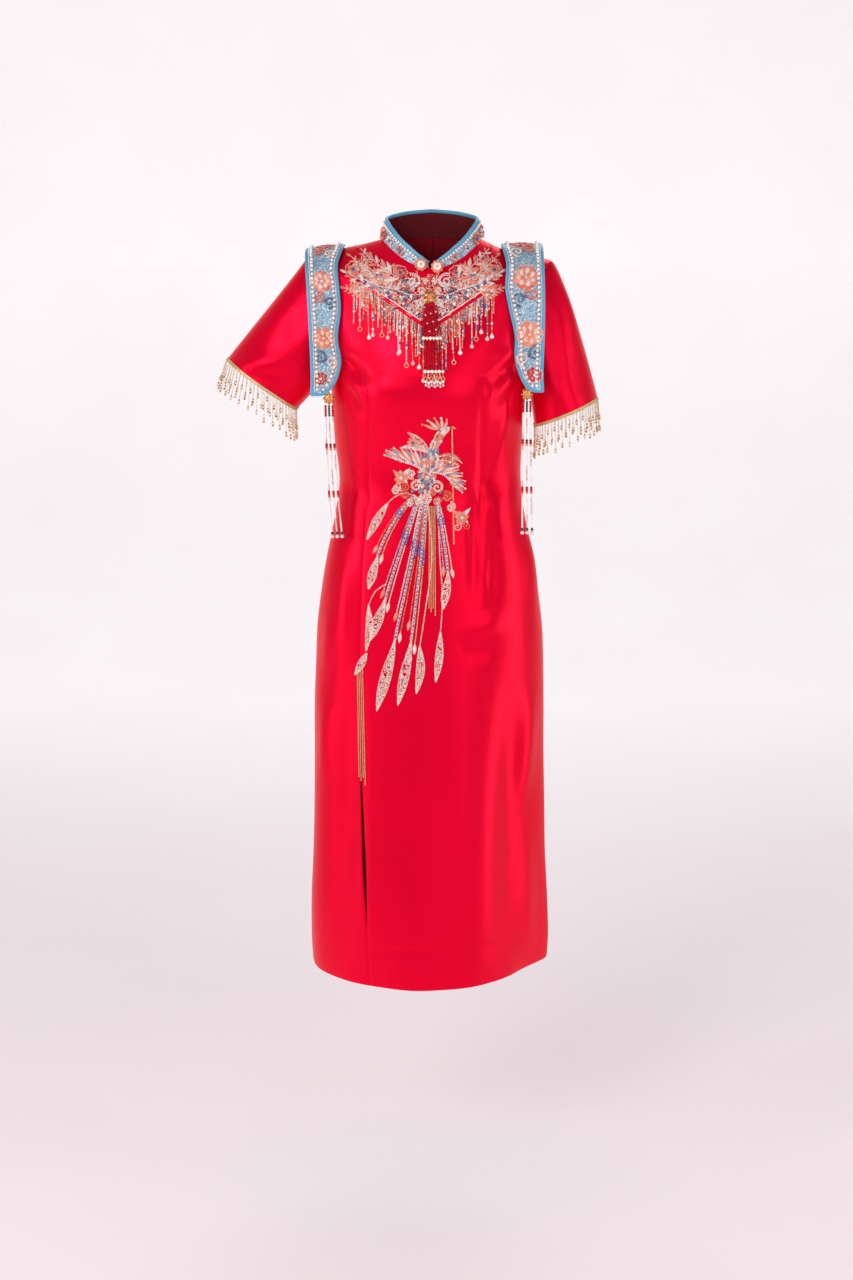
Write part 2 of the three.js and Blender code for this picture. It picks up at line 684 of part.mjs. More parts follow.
/** Columns of points from the neckline down to the yoke's edge, moved out by a distance. */
function yokeFace(out) {
  const turns = steps(YOKE_END, Math.PI - YOKE_END, YOKE_COLUMNS);
  const within = (x) => x > -YOKE_REACH.left && x < YOKE_REACH.right;
  const columns = turns.map((turn) => {
    const inside = ({ x, z }) => z > yokeEdge(x) && within(x);
    const edge = findLevel(() => turn, inside);
    return steps(edge, NECK - YOKE_INSET, YOKE_ROWS).map((level) => {
      const { point, normal } = onPanel(turn, level);
      return point.addScaledVector(normal, out);
    });
  });
  return columns;
}

addWall('yoke_embroidery', yokeFace(YOKE_LIFT + BEADWORK), yokeFace(YOKE_LIFT), CORAL_BEADS);

/** One column of what hangs on the front: it rests there, and hangs straight where that recedes. */
function hangingColumn(top, bottom, rows, lift, out) {
  let y = 0;
  return steps(0, 1, rows).map((part) => {
    const point = frontPoint(lerp(top[0], bottom[0], part), lerp(top[1], bottom[1], part), lift);
    y = Math.min(y, point.y);
    return new THREE.Vector3(point.x, y - out, point.z);
  });
}

for (const side of ['left', 'right']) {
  const sign = side === 'left' ? -1 : 1;
  const face = (out) => steps(SEAM, YOKE_REACH[side] - FRINGE_END, FRINGE_COLUMNS).map((x) => {
    const top = [sign * x, yokeEdge(x) - FRINGE_DROP];
    const tip = [sign * x, look(FRINGE_TIPS, 'x', x, 'z')];
    return hangingColumn(top, tip, FRINGE_ROWS, FRINGE_LIFT, out);
  });
  addWall(`yoke_fringe_${side}`, face(FRINGE_THICK), face(0), PEARL);
}

const CHAIN_ROWS = 6;

/** Adds a strip of chains that hang side by side from one height to another. */
function addChains(name, { top, bottom, wide, lift }) {
  const face = (out) => [-wide / 2, wide / 2].map((aside) => (
    hangingColumn([top[0] + aside, top[1]], [bottom[0] + aside, bottom[1]], CHAIN_ROWS, lift, out)));
  addWall(name, face(CHAIN_THICK), face(0), GOLD);
}

addChains('chain_beak', { top: [33, -277], bottom: [36, -451], wide: 2.4, lift: LIFT });
addChains('chains_centre', { top: [3.5, -394], bottom: [3.5, -561], wide: 8, lift: LIFT });
addChains('chains_slit', { top: [-106, -641], bottom: [-103, -823], wide: 8, lift: LIFT });

/** Adds a motif of beads: a strip along a smooth spine, with a width at each of its points. */
function addMotif(name, spine, finish, pieces = 6) {
  const curve = (column) => (share) => smooth(spine, share * (spine.length - 1), column);
  const [x, z, wide] = ['x', 'z', 'wide'].map(curve);
  const grid = steps(0, 1, pieces).map((share) => {
    const [before, after] = [clamp(share - NEAR, 0, 1), clamp(share + NEAR, 0, 1)];
    const along = new THREE.Vector2(x(after) - x(before), z(after) - z(before)).normalize();
    return [-0.5, 0, 0.5].map((aside) => {
      const off = aside * wide(share);
      return [x(share) - along.y * off, z(share) + along.x * off];
    });
  });
  addPatch(name, grid, BEADWORK, finish);
}

// A phoenix with a fan of tail plumes, leaves and two flowers: places on the front and widths.
const MOTIFS = {
  phoenix_body: [
    { x: 25, z: -274, wide: 5 },
    { x: 15, z: -285, wide: 11 },
    { x: 4, z: -310, wide: 16 },
    { x: -3, z: -342, wide: 26 },
    { x: -8, z: -376, wide: 12 },
  ],
  phoenix_wing_left: [
    { x: -19, z: -333, wide: 12 },
    { x: -38, z: -316, wide: 26 },
    { x: -58, z: -288, wide: 5 },
  ],
  phoenix_wing_right: [
    { x: 15, z: -338, wide: 12 },
    { x: 33, z: -354, wide: 26 },
    { x: 50, z: -388, wide: 5 },
  ],
  blossom_left: [
    { x: -52, z: -352, wide: 12 },
    { x: -43, z: -352, wide: 24 },
    { x: -34, z: -352, wide: 12 },
  ],
  blossom_right: [
    { x: 41, z: -412, wide: 8 },
    { x: 48, z: -412, wide: 18 },
    { x: 55, z: -412, wide: 8 },
  ],
  tail_plume_1: [
    { x: -23, z: -378, wide: 4 },
    { x: -48, z: -416, wide: 9 },
    { x: -76, z: -468, wide: 15 },
    { x: -90, z: -520, wide: 4 },
  ],
  tail_plume_2: [
    { x: -17, z: -386, wide: 4 },
    { x: -36, z: -450, wide: 10 },
    { x: -66, z: -530, wide: 18 },
    { x: -86, z: -600, wide: 4 },
  ],
  tail_plume_3: [
    { x: -11, z: -391, wide: 4 },
    { x: -24, z: -480, wide: 10 },
    { x: -50, z: -590, wide: 18 },
    { x: -78, z: -704, wide: 4 },
  ],
  tail_plume_4: [
    { x: -5, z: -388, wide: 4 },
    { x: -10, z: -480, wide: 9 },
    { x: -26, z: -590, wide: 17 },
    { x: -46, z: -694, wide: 4 },
  ],
  tail_plume_5: [
    { x: 11, z: -384, wide: 4 },
    { x: 22, z: -425, wide: 9 },
    { x: 29, z: -490, wide: 15 },
    { x: 21, z: -548, wide: 4 },
  ],
  leaf_1: [
    { x: -64, z: -390, wide: 3 },
    { x: -82, z: -414, wide: 15 },
    { x: -92, z: -446, wide: 3 },
  ],
  leaf_2: [
    { x: -16, z: -606, wide: 3 },
    { x: -10, z: -640, wide: 14 },
    { x: -18, z: -674, wide: 3 },
  ],
  leaf_3: [
    { x: -97, z: -545, wide: 3 },
    { x: -92, z: -578, wide: 12 },
    { x: -98, z: -612, wide: 3 },
  ],
  leaf_4: [
    { x: 16, z: -585, wide: 3 },
    { x: 12, z: -622, wide: 13 },
    { x: 12, z: -656, wide: 3 },
  ],
};

const MOTIF_FINISH = { phoenix: BLUE_BEADS, blossom: CORAL_BEADS, tail: GOLD, leaf: CORAL_BEADS };

for (const [name, spine] of Object.entries(MOTIFS)) {
  addMotif(name, spine, MOTIF_FINISH[name.split('_')[0]], Math.max(4, spine.length * 2 - 2));
}

// ---- the centre disk and its tassel -------------------------------------------------------------

const TASSEL_LIFT = FRINGE_LIFT + FRINGE_THICK + SEAM;

// Pieces of the tassel from the top down: heights and half widths at both ends.
const TASSEL = [
  { name: 'tassel_upper', top: -97, bottom: -141, above: 9, below: 13, finish: RED_BEADS },
  { name: 'tassel_band_upper', top: -141.5, bottom: -147, above: 14, below: 14, finish: PEARL },
  { name: 'tassel_lower', top: -147.5, bottom: -189, above: 11, below: 12, finish: RED_BEADS },
  { name: 'tassel_band_lower', top: -189.5, bottom: -195, above: 15, below: 15, finish: PEARL },
  { name: 'tassel_drops', top: -195.5, bottom: -216, above: 13, below: 12, finish: PEARL },
];
const TASSEL_LEAN = 0.055; // sideways drift for each millimetre down
const DISK_HEIGHT = -85;

for (const { name, top, bottom, above, below, finish } of TASSEL) {
  const grid = steps(0, 1, 2).map((down) => {
    const z = lerp(top, bottom, down);
    const half = lerp(above, below, down);
    const middle = (DISK_HEIGHT - z) * TASSEL_LEAN;
    return [middle - half, middle, middle + half].map((x) => [x, z]);
  });
  addPatch(name, grid, TASSEL_THICK, finish, TASSEL_LIFT);
}

/** Adds a round piece from a profile of radius and height, its axis pointing a given way. */
function addRound(name, profile, sides, place, facing, finish) {
  const turned = new THREE.Quaternion().setFromUnitVectors(new THREE.Vector3(0, 0, 1), facing);
  const loops = profile.map(([radius, height]) => steps(0, Math.PI * 2, sides).slice(0, -1)
    .map((turn) => new THREE.Vector3(radius * Math.cos(turn), radius * Math.sin(turn), height)
      .applyQuaternion(turned).add(place)));
  addTube(name, loops, finish);
}

const diskSeat = frontPoint(0, DISK_HEIGHT, YOKE_LIFT + BEADWORK + LIFT);
const diskFacing = frontPoint(0, DISK_HEIGHT, 1).sub(frontPoint(0, DISK_HEIGHT, 0));
const DISK_PROFILE = [[DISK_RADIUS, 0], [DISK_RADIUS, 2], [DISK_RADIUS - 4, 3.5]];
addRound('centre_disk', DISK_PROFILE, 16, diskSeat, diskFacing, GOLD);

// ---- buttons, medallions and their strands ------------------------------------------------------

const FORWARD = new THREE.Vector3(0, -1, 0);
const BUTTONS = { left: { x: -13, z: -37 }, right: { x: 11, z: -40 } };
const BUTTON_FOOT = 0.7; // share of a button's radius at which its back rests on the yoke
const BUTTON_PROFILE = [[0.45, 0], [0.9, 0.25], [1, 0.55], [0.8, 0.9], [0.3, 1.05]]
  .map(([radius, height]) => [radius * BUTTON_RADIUS, height * BUTTON_RADIUS]);

for (const [side, { x, z }] of Object.entries(BUTTONS)) {
  const seat = frontPoint(x, z - BUTTON_RADIUS * BUTTON_FOOT, YOKE_LIFT + BEADWORK - SEAM).setX(x).setZ(z);
  addRound(`neck_button_${side}`, BUTTON_PROFILE, 12, seat, FORWARD, CORAL_BEADS);
}

const MEDALLIONS = {
  left: { x: -151, z: -235, drift: [4, 12] },
  right: { x: 145, z: -228, drift: [0, 2] },
};
const MEDALLION_PROFILE = [[MEDALLION_RADIUS, 0], [MEDALLION_RADIUS, 2], [MEDALLION_RADIUS - 4, 4]];
const MEDALLION_BACK = 3.3; // from a panel's face to the back of the medallion at its end
const STRAND_FORE = 2; // from a medallion's back forward to its strands
const STRAND_SPREAD = [5.2, 7.5]; // distance between strands at the top and at the bottom
const STRAND_LENGTH = 205;
const STRAND_SIDES = 6;
const STRAND_RINGS = [[0, 1], [0.33, 1], [0.66, 1], [1, 1]];

for (const [side, { x, z: height, drift }] of Object.entries(MEDALLIONS)) {
  const panelEnd = SHOULDER_RUN[0].y * SHOULDER_PANELS[side].deep;
  const seat = new THREE.Vector3(x, panelEnd + MEDALLION_BACK, height);
  addRound(`medallion_${side}`, MEDALLION_PROFILE, 8, seat, FORWARD, GOLD);
  for (const place of [-1, 0, 1]) {
    const top = height - MEDALLION_RADIUS - SEAM;
    const loops = STRAND_RINGS.map(([down, size]) => {
      const bend = lerp(drift[0], drift[1], down) * down;
      const aside = place * lerp(STRAND_SPREAD[0], STRAND_SPREAD[1], down);
      const z = top - STRAND_LENGTH * down;
      return steps(0, Math.PI * 2, STRAND_SIDES).slice(0, -1).map((turn) => new THREE.Vector3(
        x + bend + aside + size * STRAND_RADIUS * Math.cos(turn),
        seat.y - STRAND_FORE + size * STRAND_RADIUS * Math.sin(turn),
        z,
      ));
    });
    addTube(`strand_${side}_${place + 2}`, loops, PEARL);
  }
}

export default dress;
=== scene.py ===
"""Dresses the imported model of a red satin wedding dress.

The dress is worn-shaped and hollow: satin panels, short flared sleeves, a stand collar, two stiff
shoulder panels, a beaded yoke with its fringe and tassel, and a beaded phoenix on the front.
Sizes are in millimetres until a mesh is made. The front faces -Y, and "left" is the side at -X.
"""
import logging
import math
from dataclasses import dataclass, field
from enum import Enum
from typing import Callable, Dict, List, Optional, Sequence, Tuple, Union

import bmesh
import bpy
import mathutils
import numpy as np
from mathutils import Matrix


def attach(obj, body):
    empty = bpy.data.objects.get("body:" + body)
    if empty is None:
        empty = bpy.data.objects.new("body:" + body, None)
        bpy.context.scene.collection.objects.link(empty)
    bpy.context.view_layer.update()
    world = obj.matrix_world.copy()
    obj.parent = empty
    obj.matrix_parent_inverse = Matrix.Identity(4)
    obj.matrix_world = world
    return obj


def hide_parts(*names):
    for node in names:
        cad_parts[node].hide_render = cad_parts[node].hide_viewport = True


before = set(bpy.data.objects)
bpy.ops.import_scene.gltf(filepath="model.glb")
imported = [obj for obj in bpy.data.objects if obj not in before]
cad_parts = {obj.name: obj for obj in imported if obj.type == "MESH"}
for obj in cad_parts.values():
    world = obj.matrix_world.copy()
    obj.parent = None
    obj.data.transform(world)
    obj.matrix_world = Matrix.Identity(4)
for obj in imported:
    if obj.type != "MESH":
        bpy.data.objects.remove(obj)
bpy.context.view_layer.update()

LOG = logging.getLogger("wedding_dress")

Array = np.ndarray
Chance = np.random.Generator
Colour = Tuple[float, float, float, float]
Spot = Tuple[float, float]
Row = Tuple[float, float, float]
MM = 0.001
WAVE_PERIOD = 0.314  # period of a wave texture at scale 1
FULL_TURN = 2 * math.pi
CORD_SQUARE = 0.75  # below 1 a cord's section is fuller than an ellipse


# ---- shader graphs ------------------------------------------------------------------------------


def tint(code: str) -> Colour:
    """Linear colour of a display colour written as six hexadecimal digits."""
    parts = [int(code[i:i + 2], 16) / 255 for i in (0, 2, 4)]
    linear = [c / 12.92 if c <= 0.04045 else ((c + 0.055) / 1.055) ** 2.4 for c in parts]
    return (linear[0], linear[1], linear[2], 1.0)


class Wire:
    """An output socket that takes part in arithmetic; each operator adds a Math node."""

    def __init__(self, graph: "Graph", socket: bpy.types.NodeSocket) -> None:
        """Keeps the socket and the graph that it belongs to."""
        self.graph = graph
        self.socket = socket

    def math(self, operation: str, *terms: "Term") -> "Wire":
        """Adds a Math node on the given terms and returns its result."""
        return self.graph.node("Math", {"operation": operation}, dict(enumerate(terms)))

    def __add__(self, other: "Term") -> "Wire":
        """Sum."""
        return self.math("ADD", self, other)

    def __sub__(self, other: "Term") -> "Wire":
        """Difference."""
        return self.math("SUBTRACT", self, other)

    def __rsub__(self, other: "Term") -> "Wire":
        """Difference from a number."""
        return self.math("SUBTRACT", other, self)

    def __mul__(self, other: "Term") -> "Wire":
        """Product."""
        return self.math("MULTIPLY", self, other)

    __radd__ = __add__
    __rmul__ = __mul__


Term = Union[Wire, float]


class Graph:
    """The node tree of one material."""

    MIX_FACTOR, MIX_FIRST, MIX_SECOND, MIX_RESULT = 0, 6, 7, 2

    def __init__(self, name: str) -> None:
        """Makes an empty material with an output node."""
        self.material = bpy.data.materials.new(name)
        self.material.use_nodes = True
        self.tree = self.material.node_tree
        self.tree.nodes.clear()
        self.end = self.tree.nodes.new("ShaderNodeOutputMaterial")

    def node(
        self, kind: str, settings: Optional[Dict[str, object]] = None,
        inputs: Optional[Dict[Union[int, str], object]] = None, output: Union[int, str] = 0,
    ) -> Wire:
        """Adds one node.

        Args:
            kind: the node's type without its ShaderNode prefix.
            settings: its properties, set first; "stops" fills a colour ramp.
            inputs: values or wires for its sockets.
            output: the socket that is returned.

        Returns:
            The node's output as a wire.
        """
        made = self.tree.nodes.new(f"ShaderNode{kind}")
        for name, value in (settings or {}).items():
            if name == "stops":
                ramp = made.color_ramp
                while len(ramp.elements) < len(value):
                    ramp.elements.new(0.5)
                for element, (place, colour) in zip(ramp.elements, value):
                    element.position = place
                    element.color = colour
            else:
                setattr(made, name, value)
        for name, value in (inputs or {}).items():
            if isinstance(value, Wire):
                self.tree.links.new(value.socket, made.inputs[name])
            else:
                made.inputs[name].default_value = value
        return Wire(self, made.outputs[output])

    def mix(self, factor: Term, first: object, second: object, blend: str = "MIX") -> Wire:
        """Colour between two colours."""
        inputs = {self.MIX_FACTOR: factor, self.MIX_FIRST: first, self.MIX_SECOND: second}
        return self.node("Mix", {"data_type": "RGBA", "blend_type": blend}, inputs, self.MIX_RESULT)

    def place(self, uv: bool, scale: Sequence[float] = (1, 1, 1), turn: float = 0) -> Wire:
        """Coordinates on the cloth or in the room, stretched and turned.

        Args:
            uv: whether they run with the cloth.
            scale: stretch on each axis.
            turn: rotation about Z, in radians.

        Returns:
            The coordinates.
        """
        source = self.node("TexCoord", output="UV" if uv else "Object")
        inputs = {"Vector": source, "Scale": scale, "Rotation": (0, 0, turn)}
        return self.node("Mapping", None, inputs)

    def noise(self, where: Wire, scale: float, detail: float = 2, rough: float = 0.5) -> Wire:
        """Noise from 0 to 1."""
        inputs = {"Vector": where, "Scale": scale, "Detail": detail, "Roughness": rough}
        return self.node("TexNoise", None, inputs)

    def ramp(self, value: Term, stops: Sequence[Tuple[float, Colour]]) -> Wire:
        """Colour from a value through stops."""
        return self.node("ValToRGB", {"stops": stops}, {"Fac": value})

    def varied(self, shades: Sequence[str]) -> Wire:
        """One of the shades for each separate bead or petal, by chance."""
        chance = self.node("NewGeometry", output="Random Per Island")
        last = max(1, len(shades) - 1)
        return self.ramp(chance, [(i / last, tint(code)) for i, code in enumerate(shades)])

    def bump(
        self, height: Wire, depth: float, strength: float, below: Optional[Wire] = None
    ) -> Wire:
        """Normal of a relief whose height runs from 0 to 1, over another one if given."""
        inputs: Dict[Union[int, str], object] = {
            "Height": height, "Distance": depth, "Strength": strength}
        if below is not None:
            inputs["Normal"] = below
        return self.node("Bump", None, inputs)

    def finish(self, sockets: Dict[str, object]) -> bpy.types.Material:
        """Ends the graph in a Principled shader with the given sockets."""
        shader = self.node("BsdfPrincipled", None, sockets)
        self.tree.links.new(shader.socket, self.end.inputs["Surface"])
        return self.material


# ---- finishes -----------------------------------------------------------------------------------


class Finish:
    """A finish that makes its material once."""

    name: str

    def sockets(self, graph: Graph) -> Dict[str, object]:
        """The shader's inputs, after the nodes behind them are added."""
        raise NotImplementedError

    def material(self) -> bpy.types.Material:
        """The finish's material, built at its first use."""
        made = bpy.data.materials.get(self.name)
        if made is None:
            graph = Graph(self.name)
            made = graph.finish(self.sockets(graph))
        return made


@dataclass(frozen=True)
class Satin(Finish):
    """Satin with a fine slanting weave, a soft sheen and small waves in its surface."""

    name: str
    light: str
    deep: str
    glow: str = "FFFFFF"
    roughness: float = 0.36
    shine: float = 0.45
    lustre: float = 0.0
    sheen: float = 0.1
    weave: float = 0.0008
    waves: float = 0.0014

    def sockets(self, graph: Graph) -> Dict[str, object]:
        """The shader's inputs, after the nodes behind them are added."""
        broad = graph.noise(graph.place(False, (1, 1, 0.45)), 5.5, 3)
        colour = graph.mix(broad, tint(self.deep), tint(self.light))
        soft = graph.noise(graph.place(False, (1, 1, 0.5)), 16, 3, 0.45)
        creped = graph.noise(graph.place(False, (1, 1, 0.6)), 60, 2, 0.4)
        relief = graph.bump(soft, self.waves, 0.5)
        relief = graph.bump(creped, self.waves * 0.2, 0.5, relief)
        cloth = {"Vector": graph.place(True, turn=0.6), "Scale": WAVE_PERIOD / self.weave}
        threads = graph.node("TexWave", {"wave_type": "BANDS", "bands_direction": "X"}, cloth)
        relief = graph.bump(threads, 0.00006, 0.35, relief)
        return {
            "Base Color": colour,
            "Roughness": self.roughness + (soft - 0.5) * 0.12,
            "Normal": relief,
            "Sheen Weight": self.sheen,
            "Sheen Roughness": 0.4,
            "Sheen Tint": tint(self.light),
            "Specular Tint": tint(self.glow),
            "Specular IOR Level": self.shine,
            "Metallic": self.lustre,
        }


@dataclass(frozen=True)
class Lining(Finish):
    """Matt plain-woven lining."""

    name: str
    colour: str

    def sockets(self, graph: Graph) -> Dict[str, object]:
        """The shader's inputs, after the nodes behind them are added."""
        cloudy = graph.noise(graph.place(False), 30, 3)
        colour = graph.mix(cloudy * 0.3, tint(self.colour), (0.05, 0.0, 0.002, 1))
        cloth = {"Vector": graph.place(True), "Scale": 500}
        weave = graph.node("TexWave", {"bands_direction": "DIAGONAL"}, cloth)
        return {
            "Base Color": colour,
            "Roughness": 0.72 + cloudy * 0.12,
            "Normal": graph.bump(weave, 0.0001, 0.4),
            "Specular IOR Level": 0.3,
        }


@dataclass(frozen=True)
class Glitter(Finish):
    """Stiff cloth covered with small glittering flakes of several colours."""

    name: str
    stops: Tuple[Tuple[float, str], ...]
    flake: float = 0.0017

    def sockets(self, graph: Graph) -> Dict[str, object]:
        """The shader's inputs, after the nodes behind them are added."""
        where = graph.place(False)
        cells = {"Vector": where, "Scale": 1 / self.flake, "Randomness": 1.0}
        flakes = graph.node("TexVoronoi", None, cells, "Color")
        shade = graph.node("SeparateColor", None, {"Color": flakes}, "Red")
        glint = graph.node("SeparateColor", None, {"Color": flakes}, "Green")
        patch = graph.noise(where, 90, 2)
        stops = [(place, tint(code)) for place, code in self.stops]
        colour = graph.ramp(shade * 0.75 + patch * 0.3, stops)
        bright = graph.node("Math", {"operation": "GREATER_THAN"}, {0: glint, 1: 0.9})
        return {
            "Base Color": graph.mix(bright * 0.8, colour, (0.9, 0.94, 1.0, 1)),
            "Roughness": 0.58 - glint * 0.18,
            "Metallic": 0.2 + glint * 0.15,
            "Normal": graph.bump(shade, 0.0005, 0.55),
            "Specular IOR Level": 0.6,
        }


@dataclass(frozen=True)
class Bead(Finish):
    """Glass, pearl, stone or metal beads, each a little different from the next."""

    name: str
    shades: Tuple[str, ...]
    roughness: float = 0.22
    metallic: float = 0.0
    coat: float = 0.5
    clouded: float = 0.25
    shine: float = 0.5

    def sockets(self, graph: Graph) -> Dict[str, object]:
        """The shader's inputs, after the nodes behind them are added."""
        colour = graph.varied(self.shades)
        clouds = graph.noise(graph.place(False), 700, 2)
        darker = graph.mix(1.0, colour, (0.55, 0.5, 0.5, 1), "MULTIPLY")
        return {
            "Base Color": graph.mix(clouds * self.clouded * 1.6, colour, darker),
            "Roughness": self.roughness + clouds * 0.14,
            "Metallic": self.metallic + clouds * 0.02,
            "Normal": graph.bump(clouds, 0.0002, 0.25),
            "Specular IOR Level": self.shine,
            "Coat Weight": self.coat,
            "Coat Roughness": 0.12,
        }


@dataclass(frozen=True)
class Thread(Finish):
    """Padded embroidery of thread laid side by side, with a line of shadow between threads."""

    name: str
    shades: Tuple[str, ...]
    thread: float = 0.0007

    def sockets(self, graph: Graph) -> Dict[str, object]:
        """The shader's inputs, after the nodes behind them are added."""
        cloth = {"Vector": graph.place(True), "Scale": WAVE_PERIOD / self.thread, "Distortion": 0.6}
        threads = graph.node("TexWave", {"bands_direction": "Y"}, cloth)
        uneven = graph.noise(graph.place(False), 260, 2)
        colour = graph.mix(threads * 0.22, graph.varied(self.shades), (0.42, 0.08, 0.07, 1))
        return {
            "Base Color": colour,
            "Roughness": 0.42 + uneven * 0.2,
            "Normal": graph.bump(threads, 0.00035, 0.6),
            "Sheen Weight": 0.2,
        }


RED_SATIN = Satin("red_satin", "FA0036", "E20026", "FF7C8E", 0.3, 0.3, 0.38, 0.0)
RED_INSIDE = Lining("red_inside", "A3041C")
DARK_LINING = Lining("dark_red_lining", "6A0512")
BLUE_SATIN = Satin("blue_satin_binding", "6FBCDD", "3D8DB4", roughness=0.34, waves=0.0008)
GLITTER_CLOTH = Glitter("grey_blue_glitter", (
    (0.0, "3F6C8E"), (0.3, "7F9DB8"), (0.5, "9DB7CC"), (0.68, "7CC0D6"), (0.85, "C9D2DC"),
    (1.0, "E6E6EA")))
GOLD = Bead("gilt_metal", ("C8963C", "E3B765", "D9A24A"), roughness=0.24, metallic=0.95, coat=0.0)
GILT_CHAIN = Bead("gilt_chain", ("E6BE78", "FCE8BC", "F1D08E"), 0.3, 0.5, 0.2)
PEARL = Bead("pearl", ("FBF4F0", "FFFFFC", "F6ECEE", "FFFAF2"), 0.2, 0.0, 0.6, 0.0)
CLEAR_PINK = Bead("clear_pink", ("F4CFCB", "F7E4E2", "EBB4B8", "FFF2EE"), 0.12, 0.0, 0.8, 0.3)
CORAL = Bead("coral_bead", ("F46A50", "F98E6C", "EC4E46", "FFAA88"), 0.28, coat=0.2, clouded=0.05)
CREAM = Bead("cream_bead", ("FFE8DC", "FFD2C2", "FFF8F2", "FBBDAE"), 0.28, coat=0.2, clouded=0.05)
RED_GLASS = Bead("red_glass", ("B40018", "DC0A2A", "8E0012", "F2284A"), 0.3, 0.0, 0.06, 0.0, 0.25)
BLUE_GLASS = Bead("blue_glass", ("2C4FA8", "4E79C9", "1F3C86", "6B9BD8"), 0.12, 0.0, 0.9)
GREY_BLUE = Bead("grey_blue_bead", ("5E7E9C", "86A3BC", "46657F", "A4BACB"), 0.2, 0.3)
GREEN_GLASS = Bead("green_glass", ("0E3B34", "1F5A4C", "0A2C2A"), 0.15, 0.0, 0.8)
PINK_ROUND = Bead("pink_round", ("F6C6CE", "F9DADB", "F3B7C3"), 0.25, 0.0, 0.5, 0.2)
SEQUIN = Bead("sequin", ("FFE0D0", "F9AE98", "D9D2EE", "FFF2E6", "F58E74", "BCD6F0"), 0.2, 0.2, 0.6)
TAIL_SEQUIN = Bead(
    "tail_sequin", ("F7C2D2", "B4BEF0", "FDDDE2", "8A9CE2", "F8AEA6", "FFF2F6"), 0.2, 0.12, 0.6)
CORAL_THREAD = Thread("coral_thread", ("F27C68", "F7957F", "FBB09C", "EC6A58"))
CREAM_THREAD = Thread("cream_thread", ("FCDCD0", "FFEFE8", "F8C6B8"))
ORANGE_THREAD = Thread("orange_thread", ("FA8C62", "FCA482", "F77C54"))
GREY_THREAD = Thread("grey_blue_thread", ("6F8FAE", "93AFC8", "55789A", "A9BFD2"))
RED_THREAD = Thread("red_thread", ("C8102A", "DD2A3A", "B00A22"))
WHITE_CORD = Satin("white_cord", "FFF4EE", "F4D9D2", roughness=0.5, waves=0.0003)


# ---- tables and small mathematics ---------------------------------------------------------------


class Table:
    """Rows of sizes with named columns."""

    def __init__(self, names: str, rows: Sequence[Sequence[float]]) -> None:
        """Keeps the columns under their names."""
        self.columns = dict(zip(names.split(), np.array(rows, float).T))
        self.last = len(rows) - 1

    def smooth(self, at: Array, column: str) -> Array:
        """Value of a column at fractional rows, on a smooth curve through the rows."""
        values = self.columns[column]
        at = np.clip(at, 0, self.last)
        row = np.minimum(at.astype(int), self.last - 1)
        t = at - row
        a, b, c, d = (values[np.clip(row + step, 0, self.last)] for step in (-1, 0, 1, 2))
        return b + 0.5 * t * (c - a + t * (2 * a - 5 * b + 4 * c - d + t * (3 * (b - c) + d - a)))

    def look(self, key: str, at: Array, column: str) -> Array:
        """Value of a column where another one, which rises, has a given value."""
        return np.interp(at, self.columns[key], self.columns[column])


def unit(vectors: Array) -> Array:
    """Vectors of length 1 along the last axis."""
    return vectors / np.maximum(np.linalg.norm(vectors, axis=-1, keepdims=True), 1e-9)


def vectors(*parts: Union[Array, float]) -> Array:
    """Points from three arrays of coordinates."""
    return np.stack(np.broadcast_arrays(*parts), axis=-1).astype(float)


def numbers(*parts: object) -> List[Array]:
    """The parts as arrays of numbers, each with one place or more."""
    return [np.atleast_1d(np.asarray(part, float)) for part in parts]


def circle(turns: Array) -> Array:
    """Places on a circle of radius 1, from +X and to the left."""
    return np.stack([np.cos(turns), np.sin(turns)], 1)


def headings(angles: Array) -> Array:
    """Directions at angles from straight up, growing to the left."""
    return np.stack([-np.sin(angles), np.cos(angles)], 1)


def walked(points: Array, axis: int = 0) -> Array:
    """Distance walked at each point of a line, or of all the lines of a grid."""
    steps = np.linalg.norm(np.diff(points, axis=axis), axis=-1)
    return np.insert(np.cumsum(steps, axis=axis), 0, 0, axis=axis)


def closed(line: Array) -> Array:
    """A line that ends where it starts."""
    return np.vstack([line, line[:1]])


def sample(at: Array, keys: Array, rows: Array) -> Array:
    """Rows of numbers read off at places between their keys."""
    return np.stack([np.interp(at, keys, column) for column in rows.T], 1)


def along(points: Array, spacing: float) -> Tuple[Array, Array]:
    """Walks a line of points in equal steps.

    Args:
        points: the line's points, one per row.
        spacing: the wanted distance between places.

    Returns:
        Places on the line, and its direction at each.
    """
    reach = walked(points)
    count = max(2, int(round(reach[-1] / spacing)) + 1)
    places = sample(np.linspace(0, reach[-1], count), reach, points)
    return places, unit(np.gradient(places, axis=0))


def ease(share: Array) -> Array:
    """Smooth step from 0 to 1."""
    share = np.clip(share, 0, 1)
    return share * share * (3 - 2 * share)


class Face(Enum):
    """Side of the dress on which a crease lies."""

    FRONT = -1
    BACK = 1


@dataclass(frozen=True)
class Crease:
    """A soft trough, or a ridge where its rise is above 0, between two places on one face."""

    face: Face
    x0: float
    z0: float
    x1: float
    z1: float
    wide: float
    rise: float
    fade: float = 0.7

    def height(self, points: Array) -> Array:
        """How far the crease moves the cloth out at each point."""
        dx, dz = self.x1 - self.x0, self.z1 - self.z0
        x, z = points[..., 0] - self.x0, points[..., 2] - self.z0
        t = np.clip((x * dx + z * dz) / (dx * dx + dz * dz), 0, 1)
        off = (x - t * dx) ** 2 + (z - t * dz) ** 2
        here = ease(points[..., 1] * self.face.value / 24)
        fade = np.sin(math.pi * np.clip(t, 0.03, 0.97)) ** self.fade
        return self.rise * np.exp(-off / (2 * self.wide**2)) * here * fade


